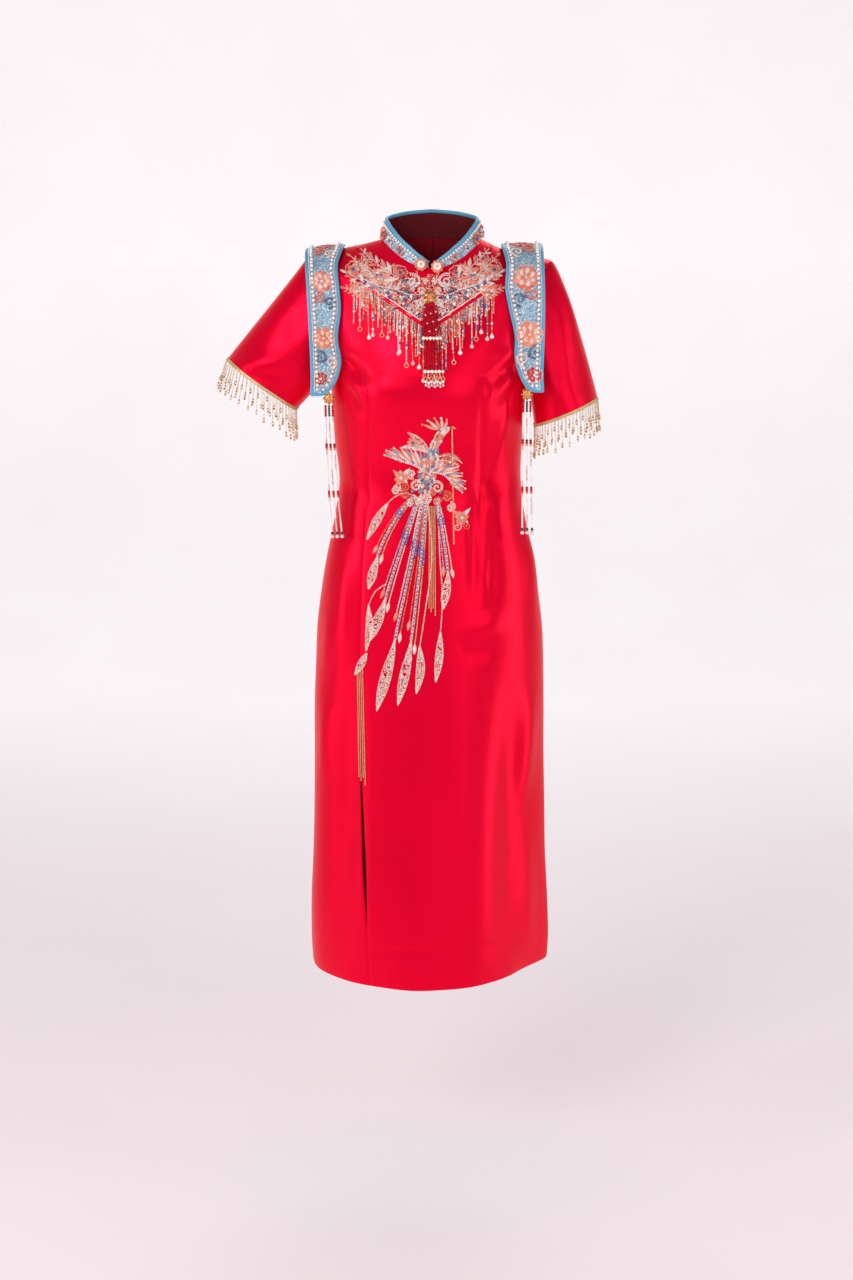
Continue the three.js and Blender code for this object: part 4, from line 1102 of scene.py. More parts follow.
@dataclass
class Needlework:
    """Beads, petals and scrolls sewn onto a ground, gathered in one mesh."""

    batch: Batch
    ground: Ground
    chance: Chance
    lift: float = 0.4

    def beads(
        self, spots: Array, radius: float, finish: Finish, shape: Shape = SEED, lift: float = 0.0
    ) -> None:
        """Adds a bead at each spot."""
        places, axes = self.ground.at(spots[:, 0], spots[:, 1], self.lift + lift)
        axes = tipped(spun(axes, self.chance.uniform(0, 6.3, len(spots))), self.chance, 0.12)
        places = places + axes[..., 2] * radius * (0.0 if shape in (DISH, GEM) else 0.7)
        sizes = radius * self.chance.uniform(0.88, 1.1, len(spots))
        self.batch.add(shape, places, axes, sizes, finish)

    def line(
        self, path: Sequence[Sequence[float]], radius: float, finish: Finish,
        gap: float = 1.0, lift: float = 0.0,
    ) -> None:
        """Adds a row of beads along a path; gap is the share of a bead's width between centres."""
        spots, _ = along(np.array(path, float), 2 * radius * gap)
        self.beads(spots, radius, finish, lift=lift)

    def petals(
        self, spots: Array, angles: Array, long: Union[float, Array], wide: float,
        finish: Finish, rise: float = 1.6, shape: Shape = PETAL, lift: float = 0.0,
    ) -> None:
        """Adds padded petals that grow from spots.

        Args:
            spots: the petals' roots.
            angles: their directions, from 0 at straight up, growing to the left.
            long: their length.
            wide: their width.
            finish: their finish.
            rise: how far they stand out.
            shape: their form.
            lift: distance of their roots from the ground.
        """
        spots = np.atleast_2d(np.array(spots, float))
        angles, wide, long, rise = (
            np.broadcast_to(np.array(v, float), (len(spots),)) for v in (angles, wide, long, rise))
        middle = spots + 0.5 * headings(angles) * long[:, None]
        places, axes = self.ground.at(middle[:, 0], middle[:, 1], self.lift + lift)
        axes = spun(axes, angles)
        places = places - axes[..., 1] * long[:, None] / 2
        self.batch.add(shape, places, axes, np.stack([wide, long, rise], 1), finish)

    def flower(
        self, spot: Spot, radius: float, count: int, outer: Finish, inner: Finish, heart: Finish
    ) -> None:
        """Adds a flower with two rings of petals and a cluster of beads in its middle."""
        turn = self.chance.uniform(0, 1)
        for share, finish, rise, lift in ((1.0, outer, 1.5, 0.0), (0.62, inner, 1.8, 0.5)):
            angles = turn + np.arange(count) * FULL_TURN / count + (1 - share)
            self.petals(spot + 0.1 * radius * headings(angles), angles, radius * share * 0.92,
                        radius * share * 4.6 / count, finish, rise, lift=lift)
        cluster = spot + 0.16 * radius * circle(np.arange(6) * math.pi / 3)
        self.beads(np.vstack([cluster, [spot]]), max(0.8, radius * 0.1), heart, lift=1.6)

    def edging(self, spot: Spot, radius: float, finish: Finish, bead: float) -> None:
        """Adds a wavy ring of beads round a flower."""
        turns = np.linspace(0, FULL_TURN, 40)
        reach = radius * (1 + 0.06 * np.cos(turns * 7))
        self.line(spot + reach[:, None] * circle(turns), bead, finish, 1.15)

    def curl(
        self, spot: Spot, radius: float, turns: float, start: float, finish: Finish,
        bead: float = 0.9, hand: int = 1, rows: int = 1,
    ) -> None:
        """Adds a scroll of beads that winds in towards a spot.

        Args:
            spot: middle of the scroll.
            radius: its outer radius.
            turns: how many times it goes round.
            start: direction of its outer end, in radians from +X.
            finish: finish of its beads.
            bead: radius of a bead.
            hand: 1 winds to the left and -1 to the right.
            rows: rows of beads side by side.
        """
        part = np.linspace(0, 1, 48)
        ahead = circle(start + hand * part * turns * FULL_TURN)
        for row in range(rows):
            reach = (radius - row * bead * 2) * (1 - 0.86 * part)
            self.line(spot + reach[:, None] * ahead, bead, finish, 1.05)

    def spray(
        self, path: Array, count: int, long: float, wide: float, finishes: Sequence[Finish]
    ) -> None:
        """Adds leaves on both sides of a stem of pearls, and one at its tip.

        Args:
            path: points of the stem.
            count: pairs of leaves.
            long: length of the first leaves; the last ones are half as long.
            wide: their width.
            finishes: finishes that take turns.
        """
        spots, ahead = along(path, 1.0)
        heading = np.arctan2(-ahead[:, 0], ahead[:, 1])
        for i in range(count):
            share = i / (count - 1)
            at = int(share * (len(spots) - 1) * 0.86)
            size = 1 - 0.5 * share
            for hand, shape in ((1, LEAF), (-1, LEAF_BACK)):
                finish = finishes[(i + (hand > 0)) % len(finishes)]
                self.petals(spots[at], heading[at] + hand * 0.7, long * size, wide * size,
                            finish, 1.5, shape, 0.7)
        self.petals(spots[-1], heading[-1], long * 0.55, wide * 0.7, finishes[0], 1.5, lift=0.7)
        self.line(spots, 0.8, PEARL, 1.2, 1.6)

    def blade(self, line: Array, outline: Optional[Finish] = None, bead: float = 1.1) -> None:
        """Fills a blade with sequins and outlines it with beads.

        Args:
            line: place and width along its middle, one per row.
            outline: finish of the beads on its edge and between the sequins.
            bead: radius of those beads.
        """
        outline = outline or CREAM
        aside, half = beside(line), line[:, 2:] / 2
        for hand in (-1, 1):
            self.line(line[:, :2] + aside * half * hand, bead, outline)
        area = np.linalg.norm(np.ptp(line[:, :2], axis=0)) * line[:, 2].mean()
        at = self.chance.uniform(0.03, 0.97, int(area * 0.42) + 6) * (len(line) - 1)
        centre, across, wide = (
            sample(at, np.arange(len(line)), rows) for rows in (line[:, :2], aside, half))
        spots = centre + across * wide * self.chance.uniform(-0.85, 0.85, (len(at), 1))
        self.beads(spots[::2], 1.7, SEQUIN, DISH)
        self.beads(spots[1::2], bead, outline, SEED, 0.4)

    def scatter(self, spots: Array, radius: float, *finishes: Tuple[Finish, float]) -> None:
        """Adds beads at spots, in finishes that each have a share."""
        shares = np.array([share for _, share in finishes], float)
        picked = self.chance.choice(len(finishes), len(spots), p=shares / shares.sum())
        for i, (finish, _) in enumerate(finishes):
            self.beads(spots[picked == i], radius, finish)


def beside(line: Array) -> Array:
    """Directions to one side of a line at each of its places."""
    heading = unit(np.gradient(line[:, :2], axis=0))
    return np.stack([heading[:, 1], -heading[:, 0]], 1)


def spine(rows: Sequence[Sequence[float]], count: int = 30) -> Array:
    """Smooth line through rows of sideways place, height and width."""
    table = Table("x z wide", rows)
    at = np.linspace(0, table.last, count)
    return np.stack([table.smooth(at, column) for column in ("x", "z", "wide")], 1)


def leafy(line: Array, wide: float, peak: float = 0.5) -> Array:
    """The same line with a leaf's widths, pointed at both ends and widest at a share of it."""
    part = np.linspace(0, 1, len(line)) ** (math.log(0.5) / math.log(peak))
    return np.column_stack([line[:, :2], 0.4 + wide * 0.88 * np.sin(math.pi * part) ** 1.2])


def jittered(box: Sequence[float], step: float, chance: Chance) -> Array:
    """Uneven grid of spots in a box: lowest and highest across, then lowest and highest up."""
    x, z = np.meshgrid(np.arange(box[0], box[1], step), np.arange(box[2], box[3], step * 0.87))
    x = x + (np.arange(len(x)) % 2)[:, None] * step / 2
    spots = np.stack([x.ravel(), z.ravel()], 1)
    return spots + chance.uniform(-0.22, 0.22, spots.shape) * step


# ---- panels and sleeves -------------------------------------------------------------------------


def edge_columns(count: int, wide: float) -> Array:
    """Shares across a panel: even in the middle, with extra columns that round off the seams."""
    near = np.array([0.0, 0.9, 2.2, 4.2]) / wide
    return np.concatenate([near, np.linspace(near[-1], 1 - near[-1], count)[1:-1], 1 - near[::-1]])


@dataclass
class Panels:
    """The four satin panels of the dress between neck, armholes and hem."""

    form: DressForm
    step: float = 7.0
    dip: float = 1.0
    dip_width: float = 1.7
    hem_dip: float = 0.7
    hem_width: float = 2.0
    fullness: float = 75.0
    armhole_rows: int = 44
    merge: float = 0.012

    def levels(self) -> Array:
        """Levels of the fine rows, closer where the armholes turn."""
        rows: List[float] = [0.0]
        heights = SECTIONS.columns["front"]
        for i in range(ARMPIT):
            count = max(2, int(math.ceil((heights[i + 1] - heights[i]) / self.step)))
            rows.extend(i + (np.arange(count) + 1) / count)
        turns = np.linspace(0, math.pi, self.armhole_rows + 1)[1:]
        rows.extend(ARMPIT + (SHOULDER - ARMPIT) * (1 - np.cos(turns)) / 2)
        rows.extend(np.linspace(SHOULDER, NECK, 21)[1:])
        return np.array(rows)

    def grid(self, levels: Array, start: Array, stop: Array, count: int) -> Array:
        """Points of a panel between two edges, drawn in a little at its seams.

        Args:
            levels: level of each row.
            start: turn of the first edge at each row.
            stop: turn of the last edge.
            count: columns between the seams.

        Returns:
            Rows and columns of points.
        """
        wide = 2.0 * np.abs(stop - start).max() * self.fullness
        shares = edge_columns(count, wide)
        turns = start[:, None] * (1 - shares) + stop[:, None] * shares
        rows = np.broadcast_to(levels[:, None], turns.shape)
        points = self.form.surface(turns, rows)
        reach = walked(points, 1)
        off = np.minimum(reach, reach[:, -1:] - reach)
        sunk = self.dip * np.exp(-((off / self.dip_width) ** 2))
        hem = np.exp(-(((points[..., 2] - points[:1, :, 2]) / self.hem_width) ** 2)) * self.hem_dip
        return points - self.form.normal(turns, rows) * (sunk + hem)[..., None]

    def build(self) -> None:
        """Makes the panels."""
        form = self.form
        levels = self.levels()
        half = SEAM / 2
        armhole = form.armhole(levels)
        slit = form.slit(levels)
        opening = SLIT_GAP.look("z", form.bare(slit, levels)[:, 2], "wide")
        gap = np.where(levels < ARMPIT, opening, SEAM) / 2
        left, right = math.pi - armhole, FULL_TURN - armhole
        middle = np.full_like(levels, 1.5 * math.pi)
        meets = slit >= left - self.merge
        seam = form.beside(left, levels, -half)
        stop = np.where(meets, seam, form.beside(slit, levels, -gap))
        end = int(np.argmax(meets))
        for name, node, last, start, stop, count in (
            ("front_panel", "front_main", None, form.beside(armhole, levels, half), stop, 66),
            ("side_front_panel", "front_side_left", end, form.beside(slit, levels, gap), seam, 14),
            ("left_back_panel", "back_left", None,
             form.beside(math.pi + armhole, levels, half), form.beside(middle, levels, -half), 44),
            ("right_back_panel", "back_right", None,
             form.beside(middle, levels, half), form.beside(right, levels, -half), 44),
        ):
            points = self.grid(levels[:last], start[:last], stop[:last], count)
            cloth = Cloth(name, points, WALL, RED_SATIN, RED_INSIDE, "satin")
            cloth.build(node, "stretched", "shoulder_panel_left", "shoulder_panel_right")


@dataclass(frozen=True)
class Cuff:
    """Where a sleeve ends, and how its cap and its fringe stand."""

    flare: float
    high: Tuple[float, float]
    low: Tuple[float, float]
    y: float
    depth: float
    cap: Tuple[float, float]


CUFFS = {
    Side.LEFT: Cuff(17, (-306, -178), (-200, -254), 4, 60, (36, 42)),
    Side.RIGHT: Cuff(4, (255, -237), (158.5, -278), 0, 61, (-12, 74)),
}


@dataclass
class Sleeve:
    """A short sleeve with a gilt braid and a fringe of chains at its cuff."""

    side: Side
    form: DressForm
    ease: float = 0.85
    columns: int = 96
    rows: int = 42
    braid: float = 5.0
    fringe: float = 50.0
    strands: int = 58

    def point(self, turn: Array, share: Array) -> Array:
        """Points of the sleeve: the turn is 0 on top and a quarter at the front."""
        cuff = CUFFS[self.side]
        sign = self.side.sign
        level = ARMPIT + (SHOULDER - ARMPIT) * (1 + np.cos(turn)) / 2
        cut = self.form.armhole(level) * np.where(np.sin(turn) >= 0, 1, -1)
        start = self.form.bare(math.pi - cut if sign < 0 else cut, level)
        start[..., 0] += sign * self.ease
        high, low = (np.array([p[0], cuff.y, p[1]]) for p in (cuff.high, cuff.low))
        end = (high + low) / 2 + (high - low) / 2 * np.cos(turn)[..., None]
        end[..., 1] -= cuff.depth * np.sin(turn)
        rise = ((1 + np.cos(turn)) / 2) ** 1.5
        pull = (start + end) / 2 + np.array([cuff.cap[0], 0, cuff.cap[1]]) * rise[..., None]
        t = share[..., None]
        return start * (1 - t) ** 2 + pull * 2 * t * (1 - t) + end * t**2

    def cloth(self) -> Array:
        """Creased points of the sleeve, from the underarm round its front and over its top."""
        turns = np.linspace(math.pi, 3 * math.pi, self.columns, endpoint=False)
        shares = np.linspace(0, 1, self.rows)
        turn, share = np.meshgrid(turns, shares)
        points = self.point(turn, share)
        normals = spread_normals(points, True) * -self.side.sign
        relief = sum(crease.height(points) for crease in SLEEVE_CREASES)
        seam = 0.9 * np.exp(-((share * 90 / 2.4) ** 2))
        fade = ease(share * 6)
        waves = 0.8 * np.sin(turn * 5 + 1.3) * ease(share * 1.2 - 0.2)
        return points + normals * ((relief + waves) * fade - seam)[..., None]

    def build(self) -> None:
        """Makes the sleeve, its braid and its fringe."""
        name = self.side.value
        points = self.cloth()
        cloth = Cloth(
            f"{name}_sleeve", points, WALL, RED_SATIN, RED_INSIDE, "satin", True, -self.side.sign)
        cloth.build(f"sleeve_{name}", "hung", "front_panel")
        edge = points[-1]
        arm = unit(edge - points[-2])
        outward = unit(spread_normals(points, True)[-1] * -self.side.sign)
        self.make_braid(edge, arm, outward)
        self.make_fringe(edge + arm * self.braid)

    def make_braid(self, edge: Array, ahead: Array, outward: Array) -> None:
        """Makes a woven tape with a row of links and beads on each side of it."""
        batch = Batch(f"{self.side.value}_cuff_braid")
        middle = edge + ahead * (self.braid / 2) - outward * 0.6
        sweep(batch, middle, outward, self.braid, 1.6, GILT_CHAIN, loop=True)
        for shift, size, shape in ((0.9, 0.9, SEED), (2.6, 1.35, LOOP), (4.4, 0.9, SEED)):
            step = size * (2.0 if shape is SEED else 1.7)
            places, direction = along(closed(edge + ahead * shift), step)
            at = np.linspace(0, len(edge), len(places))
            out = unit(sample(at, np.arange(len(edge) + 1), closed(outward)))
            batch.add(shape, places + out * 0.5, frames(out, direction), size, GILT_CHAIN)
        batch.build("gold_metal", [f"sleeve_braid_{self.side.value}"])

    def make_fringe(self, edge: Array) -> None:
        """Makes hanging chains of two lengths, each with a stone and a drop at its end."""
        chance = np.random.default_rng(11 if self.side is Side.LEFT else 12)
        batch = Batch(f"{self.side.value}_cuff_fringe")
        cuff = CUFFS[self.side]
        ring = closed(edge)
        tops = along(ring, walked(ring)[-1] / self.strands)[0][:-1]
        low, high = sorted((cuff.low[0], cuff.high[0]))
        share = (tops[:, 0] - low) / (high - low)
        share = share if self.side is Side.RIGHT else 1 - share
        for i, top in enumerate(tops):
            long = (self.fringe if i % 2 else self.fringe * 0.68) - chance.uniform(1, 7)
            swing = max(0.0, 2 * share[i] - 1) * cuff.flare * self.side.sign / self.fringe
            lean = (swing + chance.normal(0, 0.02), chance.normal(0, 0.02), -1.0)
            self.strand(batch, top, unit(np.array(lean)), long, chance)
        batch.build("gold_metal", [f"sleeve_fringe_{self.side.value}"])

    def strand(self, batch: Batch, top: Array, down: Array, long: float, chance: Chance) -> None:
        """Adds one chain of the fringe.

        Args:
            batch: the mesh that it goes into.
            top: where it hangs from.
            down: the way it hangs.
            long: its length.
            chance: source of small differences.
        """
        axes = frames(np.array([0.0, -1.0, 0.0]), -down)
        marks = [long * 0.42, long * 0.74] if chance.random() < 0.6 else long * 0.6
        for shape, at, size, finish in (
            (SEED, np.arange(1.0, long - 7, 1.75), 0.72, GILT_CHAIN),
            (SEED, marks, 1.25, CREAM),
            (GEM, long - 6.5, 1.5, GOLD),
            (LOOP, long - 4.6, 1.7, GILT_CHAIN),
            (ROUND, long - 1.6, 1.7, CLEAR_PINK if chance.random() < 0.3 else GOLD),
        ):
            batch.add(shape, top + np.reshape(at, (-1, 1)) * down, axes, size, finish)


# ---- collar and shoulder panels -----------------------------------------------------------------


COLLAR_HEIGHTS = Table("part tall", (
    (0, 9), (0.05, 15), (0.14, 22), (0.3, 27), (0.55, 33), (0.8, 38), (1, 40),
))


@dataclass
class Collar(Ground):
    """The stand collar: glittering band, dark lining and rolled satin binding."""

    form: DressForm
    half: float = 68
    fore: float = 58
    aft: float = 48
    shift: float = 3.5
    opening: float = 0.07
    bind: float = 5.0
    tallest: float = 40.0
    girth: float = 62.0
    columns: int = 120

    def point(self, part: Array, up: Array, inwards: float = 0) -> Array:
        """Points of the collar.

        Args:
            part: share of the way round, from its left front end to its right one.
            up: height above the neckline, as a share of the collar's height there.
            inwards: distance in from its outer face.

        Returns:
            The points.
        """
        part, up = np.broadcast_arrays(np.asarray(part, float), np.asarray(up, float))
        turn = math.pi / 2 + self.opening + part * (FULL_TURN - 2 * self.opening)
        base = self.form.bare(turn, np.full_like(turn, NECK))
        deep = np.where(base[..., 1] < 0, self.fore, self.aft)
        rim = vectors(self.shift + self.half * np.cos(turn), -np.sin(turn) * deep,
                      base[..., 2] + self.tallest)
        points = base + (rim - base) * (up * self.tall(part) / self.tallest)[..., None]
        return points + vectors(-inwards * np.cos(turn), inwards * np.sin(turn), 0.5)

    def tall(self, part: Array) -> Array:
        """Height of the collar at a share of the way round."""
        return COLLAR_HEIGHTS.look("part", 1 - np.abs(2 * part - 1), "tall")

    def at(self, across: Array, up: Array, lift: float) -> Tuple[Array, Array]:
        """Places at a share of the way round and a height in millimetres, and the axes there."""
        across, up = numbers(across, up)
        share = up / self.tall(across)
        here = self.point(across, share)
        round_ = self.point(across + 0.004, share) - self.point(across - 0.004, share)
        above = self.point(across, share + 0.05) - here
        normals = unit(np.cross(above, round_))
        return here + normals * lift, frames(normals, unit(above))

    def build(self) -> None:
        """Makes the collar's cloth, its binding and its trim."""
        part = np.linspace(0, 1, self.columns)[None, :]
        foot = 1 - self.bind / self.tall(part)
        rows = np.linspace(-0.07, 1, 13)[:, None]
        band = Cloth("collar_band", self.point(part, rows * foot), 1.6, GLITTER_CLOTH,
                     DARK_LINING, "glitter_cloth")
        band.build("collar_band", "stretched", "front_panel")
        lining = Cloth("collar_lining", self.point(part, rows * foot, 2.0), 1.2, DARK_LINING,
                       DARK_LINING, "lining")
        lining.build("collar_lining", "stretched", "collar_band")
        batch = Batch("collar_binding")
        line = part[0]
        middle = self.point(line, 1 - self.bind / 2 / self.tall(line), 1.4)
        out = unit(self.point(line, 0.9) - self.point(line, 0.9, 1))
        sweep(batch, middle, out, self.bind + 0.6, 4.4, BLUE_SATIN, sides=14)
        batch.build("binding", ["collar_binding"])
        self.trim()

    def trim(self) -> None:
        """Sews a row of pearls below the binding and small sprays onto the band."""
        batch = Batch("collar_beadwork")
        work = Needlework(batch, self, np.random.default_rng(5))
        part = np.linspace(0.004, 0.996, 600)
        below = self.bind + 1.0
        reach = walked(self.point(part, 1 - below / self.tall(part)))
        for step, radius, drop, finish in ((5.2, 2.2, 1.2, PEARL), (2.3, 0.9, 4.5, CREAM)):
            stops = np.interp(np.arange(0, reach[-1], step), reach, part)
            spots = np.stack([stops, self.tall(stops) - below - drop], 1)
            work.beads(spots[spots[:, 1] > 1], radius, finish)
        for i, share in enumerate(np.arange(0.05, 0.97, 0.052)):
            tall = float(self.tall(share)) - self.bind - 3
            size, finish = (0.44, CORAL) if i % 2 else (0.34, CREAM)
            self.sprig(work, share, tall * 0.44, tall * size, finish)
        batch.build("coral_beads")

    def sprig(self, work: Needlework, share: float, up: float, size: float, finish: Finish) -> None:
        """Sews a flower of single beads with a stone in its middle."""
        ring = circle(np.arange(6) * FULL_TURN / 6 + share * 40) * size * 0.7
        spots = [share, up] + ring / [FULL_TURN * self.girth, 1]
        work.beads(spots, max(1.0, size * 0.34), finish)
        work.beads(np.array([[share, up]]), max(1.0, size * 0.3), BLUE_GLASS, ROUND)


SHOULDER_RUN = Table("y z left_in left_out right_in right_out", (
    (-75, -229, 161, 178, 157, 169),
    (-74.6, -222, 150, 178, 144, 169),
    (-74, -205, 138, 178, 134, 169),
    (-73, -178, 132, 179, 126, 170),
    (-72.5, -145, 137, 180, 126, 171),
    (-70.5, -105, 132, 182, 117, 172),
    (-67, -72, 134, 184, 111, 172),
    (-56, -38, 137, 186, 113, 171),
    (-30, -14, 130, 188, 108, 171),
    (0, -7.5, 127, 188, 107, 171),
    (34, -12, 130, 188, 108, 171),
    (65, -33, 137, 186, 113, 171),
    (77, -68, 134, 184, 111, 172),
    (80, -105, 132, 182, 117, 172),
    (80, -145, 137, 180, 126, 171),
    (80, -178, 132, 179, 126, 170),
    (79, -205, 138, 178, 134, 169),
    (78, -222, 150, 178, 144, 169),
    (78, -229, 161, 178, 157, 169),
))


@dataclass
class ShoulderPanel(Ground):
    """A stiff glittering panel over a shoulder, bound with satin and sewn with flowers."""

    side: Side
    deep: float
    tall: float
    slope: float
    wall: float = 2.4
    binding: float = 5.0

    def point(self, share: Array, across: Array, lift: Array = 0.0) -> Array:
        """Points by share of the run and share across, from the inner edge to the outer one."""
        name = self.side.value
        share, across = np.broadcast_arrays(np.asarray(share, float), np.asarray(across, float))
        run: Callable[[Array, str], Array] = lambda at, column: SHOULDER_RUN.smooth(
            np.clip(at, 0, 1) * SHOULDER_RUN.last, column)
        ahead = [(run(share + 0.01, c) - run(share - 0.01, c)) * k
                 for c, k in (("y", self.deep), ("z", self.tall))]
        size = np.hypot(*ahead)
        out = vectors(0.0, -ahead[1] / size, ahead[0] / size)
        x = run(share, f"{name}_in") * (1 - across) + run(share, f"{name}_out") * across
        z = run(share, "z") * self.tall - self.slope * across * np.maximum(0, out[..., 2])
        here = vectors(self.side.sign * x, run(share, "y") * self.deep, z)
        return here + out * np.asarray(lift, float)[..., None]

    def reach(self) -> Tuple[Array, Array]:
        """Shares of the run, and the distance along it at each."""
        shares = np.linspace(0, 1, 400)
        return shares, walked(self.point(shares, 0.5)[:, 1:])

    def at(self, across: Array, up: Array, lift: float) -> Tuple[Array, Array]:
        """Places at a share across and a distance from the front end, and the axes there."""
        across, up = numbers(across, up)
        shares, reach = self.reach()
        share = np.interp(up, reach, shares)
        here = self.point(share, across)
        out = unit(self.point(share, across, 1.0) - here)
        above = self.point(share + 0.004, across) - self.point(share - 0.004, across)
        return here + out * lift, frames(out, unit(above))

    def wide(self, up: float) -> float:
        """Width of the panel at a distance from its front end."""
        shares, reach = self.reach()
        share = np.interp(up, reach, shares)
        return float(np.linalg.norm(self.point(share, 1.0) - self.point(share, 0.0)))

    def build(self) -> None:
        """Makes the panel, its binding and its beadwork."""
        name = self.side.value
        points = self.point(np.linspace(0.006, 0.994, 150)[:, None], np.linspace(0.04, 0.96, 12))
        panel = Cloth(f"shoulder_panel_{name}", points, self.wall, GLITTER_CLOTH, DARK_LINING,
                      "glitter_cloth", outward=-self.side.sign)
        panel.build(f"shoulder_panel_{name}", "stretched", "front_panel")
        batch = Batch(f"shoulder_binding_{name}")
        ends = np.linspace(0, 1, 8)[1:-1]
        run = np.linspace(0, 1, 160)
        share = np.concatenate([run, np.ones_like(ends), run[::-1], np.zeros_like(ends)])
        side = np.concatenate([np.zeros_like(run), ends, np.ones_like(run), ends[::-1]])
        inset = self.binding / 2 / 45
        side = inset + side * (1 - 2 * inset)
        share = 0.004 + share * 0.992
        path = self.point(share, side, -self.wall / 2)
        out = unit(self.point(share, side, 1.0) - self.point(share, side))
        sweep(batch, path, out, self.binding, 3.8, BLUE_SATIN, loop=True, sides=14)
        batch.build("binding", [f"shoulder_binding_{name}"])
        self.sew()

    def sew(self) -> None:
        """Sews pearl rows beside the binding, flowers and scrolls."""
        batch = Batch(f"shoulder_beadwork_{self.side.value}")
        work = ShoulderWork(batch, self, np.random.default_rng(20 + self.side.sign))
        total = self.reach()[1][-1]
        for edge, hand in ((0.0, 1), (1.0, -1)):
            for inset, radius, start, step, finish in (
                (6.0, 0.9, 8, 2.4, PEARL), (9.9, 2.7, 8, 6.6, PEARL), (9.9, 1.1, 11.3, 6.6, CORAL),
            ):
                ups = np.arange(start, total - 8, step)
                width = np.array([self.wide(up) for up in ups])
                work.beads(np.stack([edge + hand * inset / width, ups], 1), radius, finish)
        for foot, hand in ((0.0, 1), (total, -1)):
            size = self.wide(foot + hand * 150) * 0.22
            for at, share, scale, outer, inner in (
                (24, 0.62, 0.8, RED_THREAD, CORAL_THREAD),
                (84, 0.5, 1.35, ORANGE_THREAD, CREAM_THREAD),
                (168, 0.52, 1.35, CORAL_THREAD, CREAM_THREAD),
                (246, 0.48, 1.35, RED_THREAD, CORAL_THREAD),
            ):
                work.disc(share, foot + hand * at, size * scale, outer, inner)
            for at, first, second in (
                (52, GREY_BLUE, CREAM), (140, CORAL, GREY_BLUE), (220, CORAL, CREAM),
            ):
                work.scrolls(0.5, foot + hand * at, size * 0.9, first, second)
        batch.build("coral_beads")


@dataclass
class ShoulderWork(Needlework):
    """Needlework whose sizes across are shares of a shoulder panel's width."""

    def spots(self, across: float, up: float, local: Array) -> Array:
        """Places on the panel from distances around a spot."""
        return np.stack([across + local[:, 0] / self.ground.wide(up), up + local[:, 1]], 1)

    def disc(self, across: float, up: float, radius: float, outer: Finish, inner: Finish) -> None:
        """Sews a flower of padded petals with a ring of beads round it."""
        side = self.ground.side.sign
        for share, finish, count, lift in (
            (1.0, outer, 8, 0.0), (0.72, inner, 7, 0.6), (0.45, outer, 5, 1.2),
        ):
            angles = np.arange(count) * FULL_TURN / count + share
            long = radius * share
            spots = self.spots(across, up, (0.1 * radius + 0.5 * long) * headings(angles))
            places, axes = self.ground.at(spots[:, 0], spots[:, 1], self.lift + lift)
            axes = spun(axes, angles * side)
            self.batch.add(BROAD_PETAL, places - axes[..., 1] * long / 2, axes,
                           [[long * 5.4 / count, long, 1.7]], finish)
        turns = np.arange(0, FULL_TURN, 1.9 / radius)
        self.beads(self.spots(across, up, (radius + 1.6) * circle(turns)), 0.85, CREAM)
        self.beads(self.spots(across, up, 1.3 * circle(turns[::3])), 0.8, PEARL, lift=2.2)

    def scrolls(
        self, across: float, up: float, radius: float, first: Finish, second: Finish
    ) -> None:
        """Sews a pair of scrolls that wind apart, with a stone between them."""
        part = np.linspace(0, 1, 40)
        for hand, finish in ((1, first), (-1, second)):
            for shift in (0.0, 1.9):
                reach = (radius - shift) * (1 - 0.85 * part)
                ring = reach[:, None] * circle(hand * (part * 8.5 + math.pi / 2))
                path, _ = along(hand * radius * np.array([0.8, 0.35]) + ring, 2.0)
                self.beads(self.spots(across, up, path), 1.15, finish)
        self.beads(np.array([[across, up]]), 2.4, BLUE_GLASS, GEM)


# ---- yoke, fringe and tassel --------------------------------------------------------------------


Link = Tuple[Shape, float, Finish, float]


def string(batch: Batch, path: Array, links: Sequence[Link]) -> None:
    """Strings beads one after the other down a path, until either ends.

    Args:
        batch: the mesh that they go into.
        path: points of the thread, from its top.
        links: form, radius, finish and length of each bead.
    """
    reach = walked(path)
    heading = unit(np.gradient(path, axis=0))
    groups: Dict[Link, List[float]] = {}
    for link, end in zip(links, np.cumsum([link[3] for link in links])):
        if end <= reach[-1] + 1e-6:
            groups.setdefault(link, []).append(end)
    for (shape, radius, finish, long), stops in groups.items():
        places = sample(np.array(stops) - long / 2, reach, path)
        axes = frames(np.array([0.0, -1.0, 0.0]), -unit(sample(stops, reach, heading)))
        tall = long * 0.94 if shape is BUGLE else radius
        if shape in (BUGLE, DROP):
            places = places - axes[..., 1] * (tall if shape is BUGLE else long) / 2
        batch.add(shape, places, axes, [[radius, tall, radius]], finish)


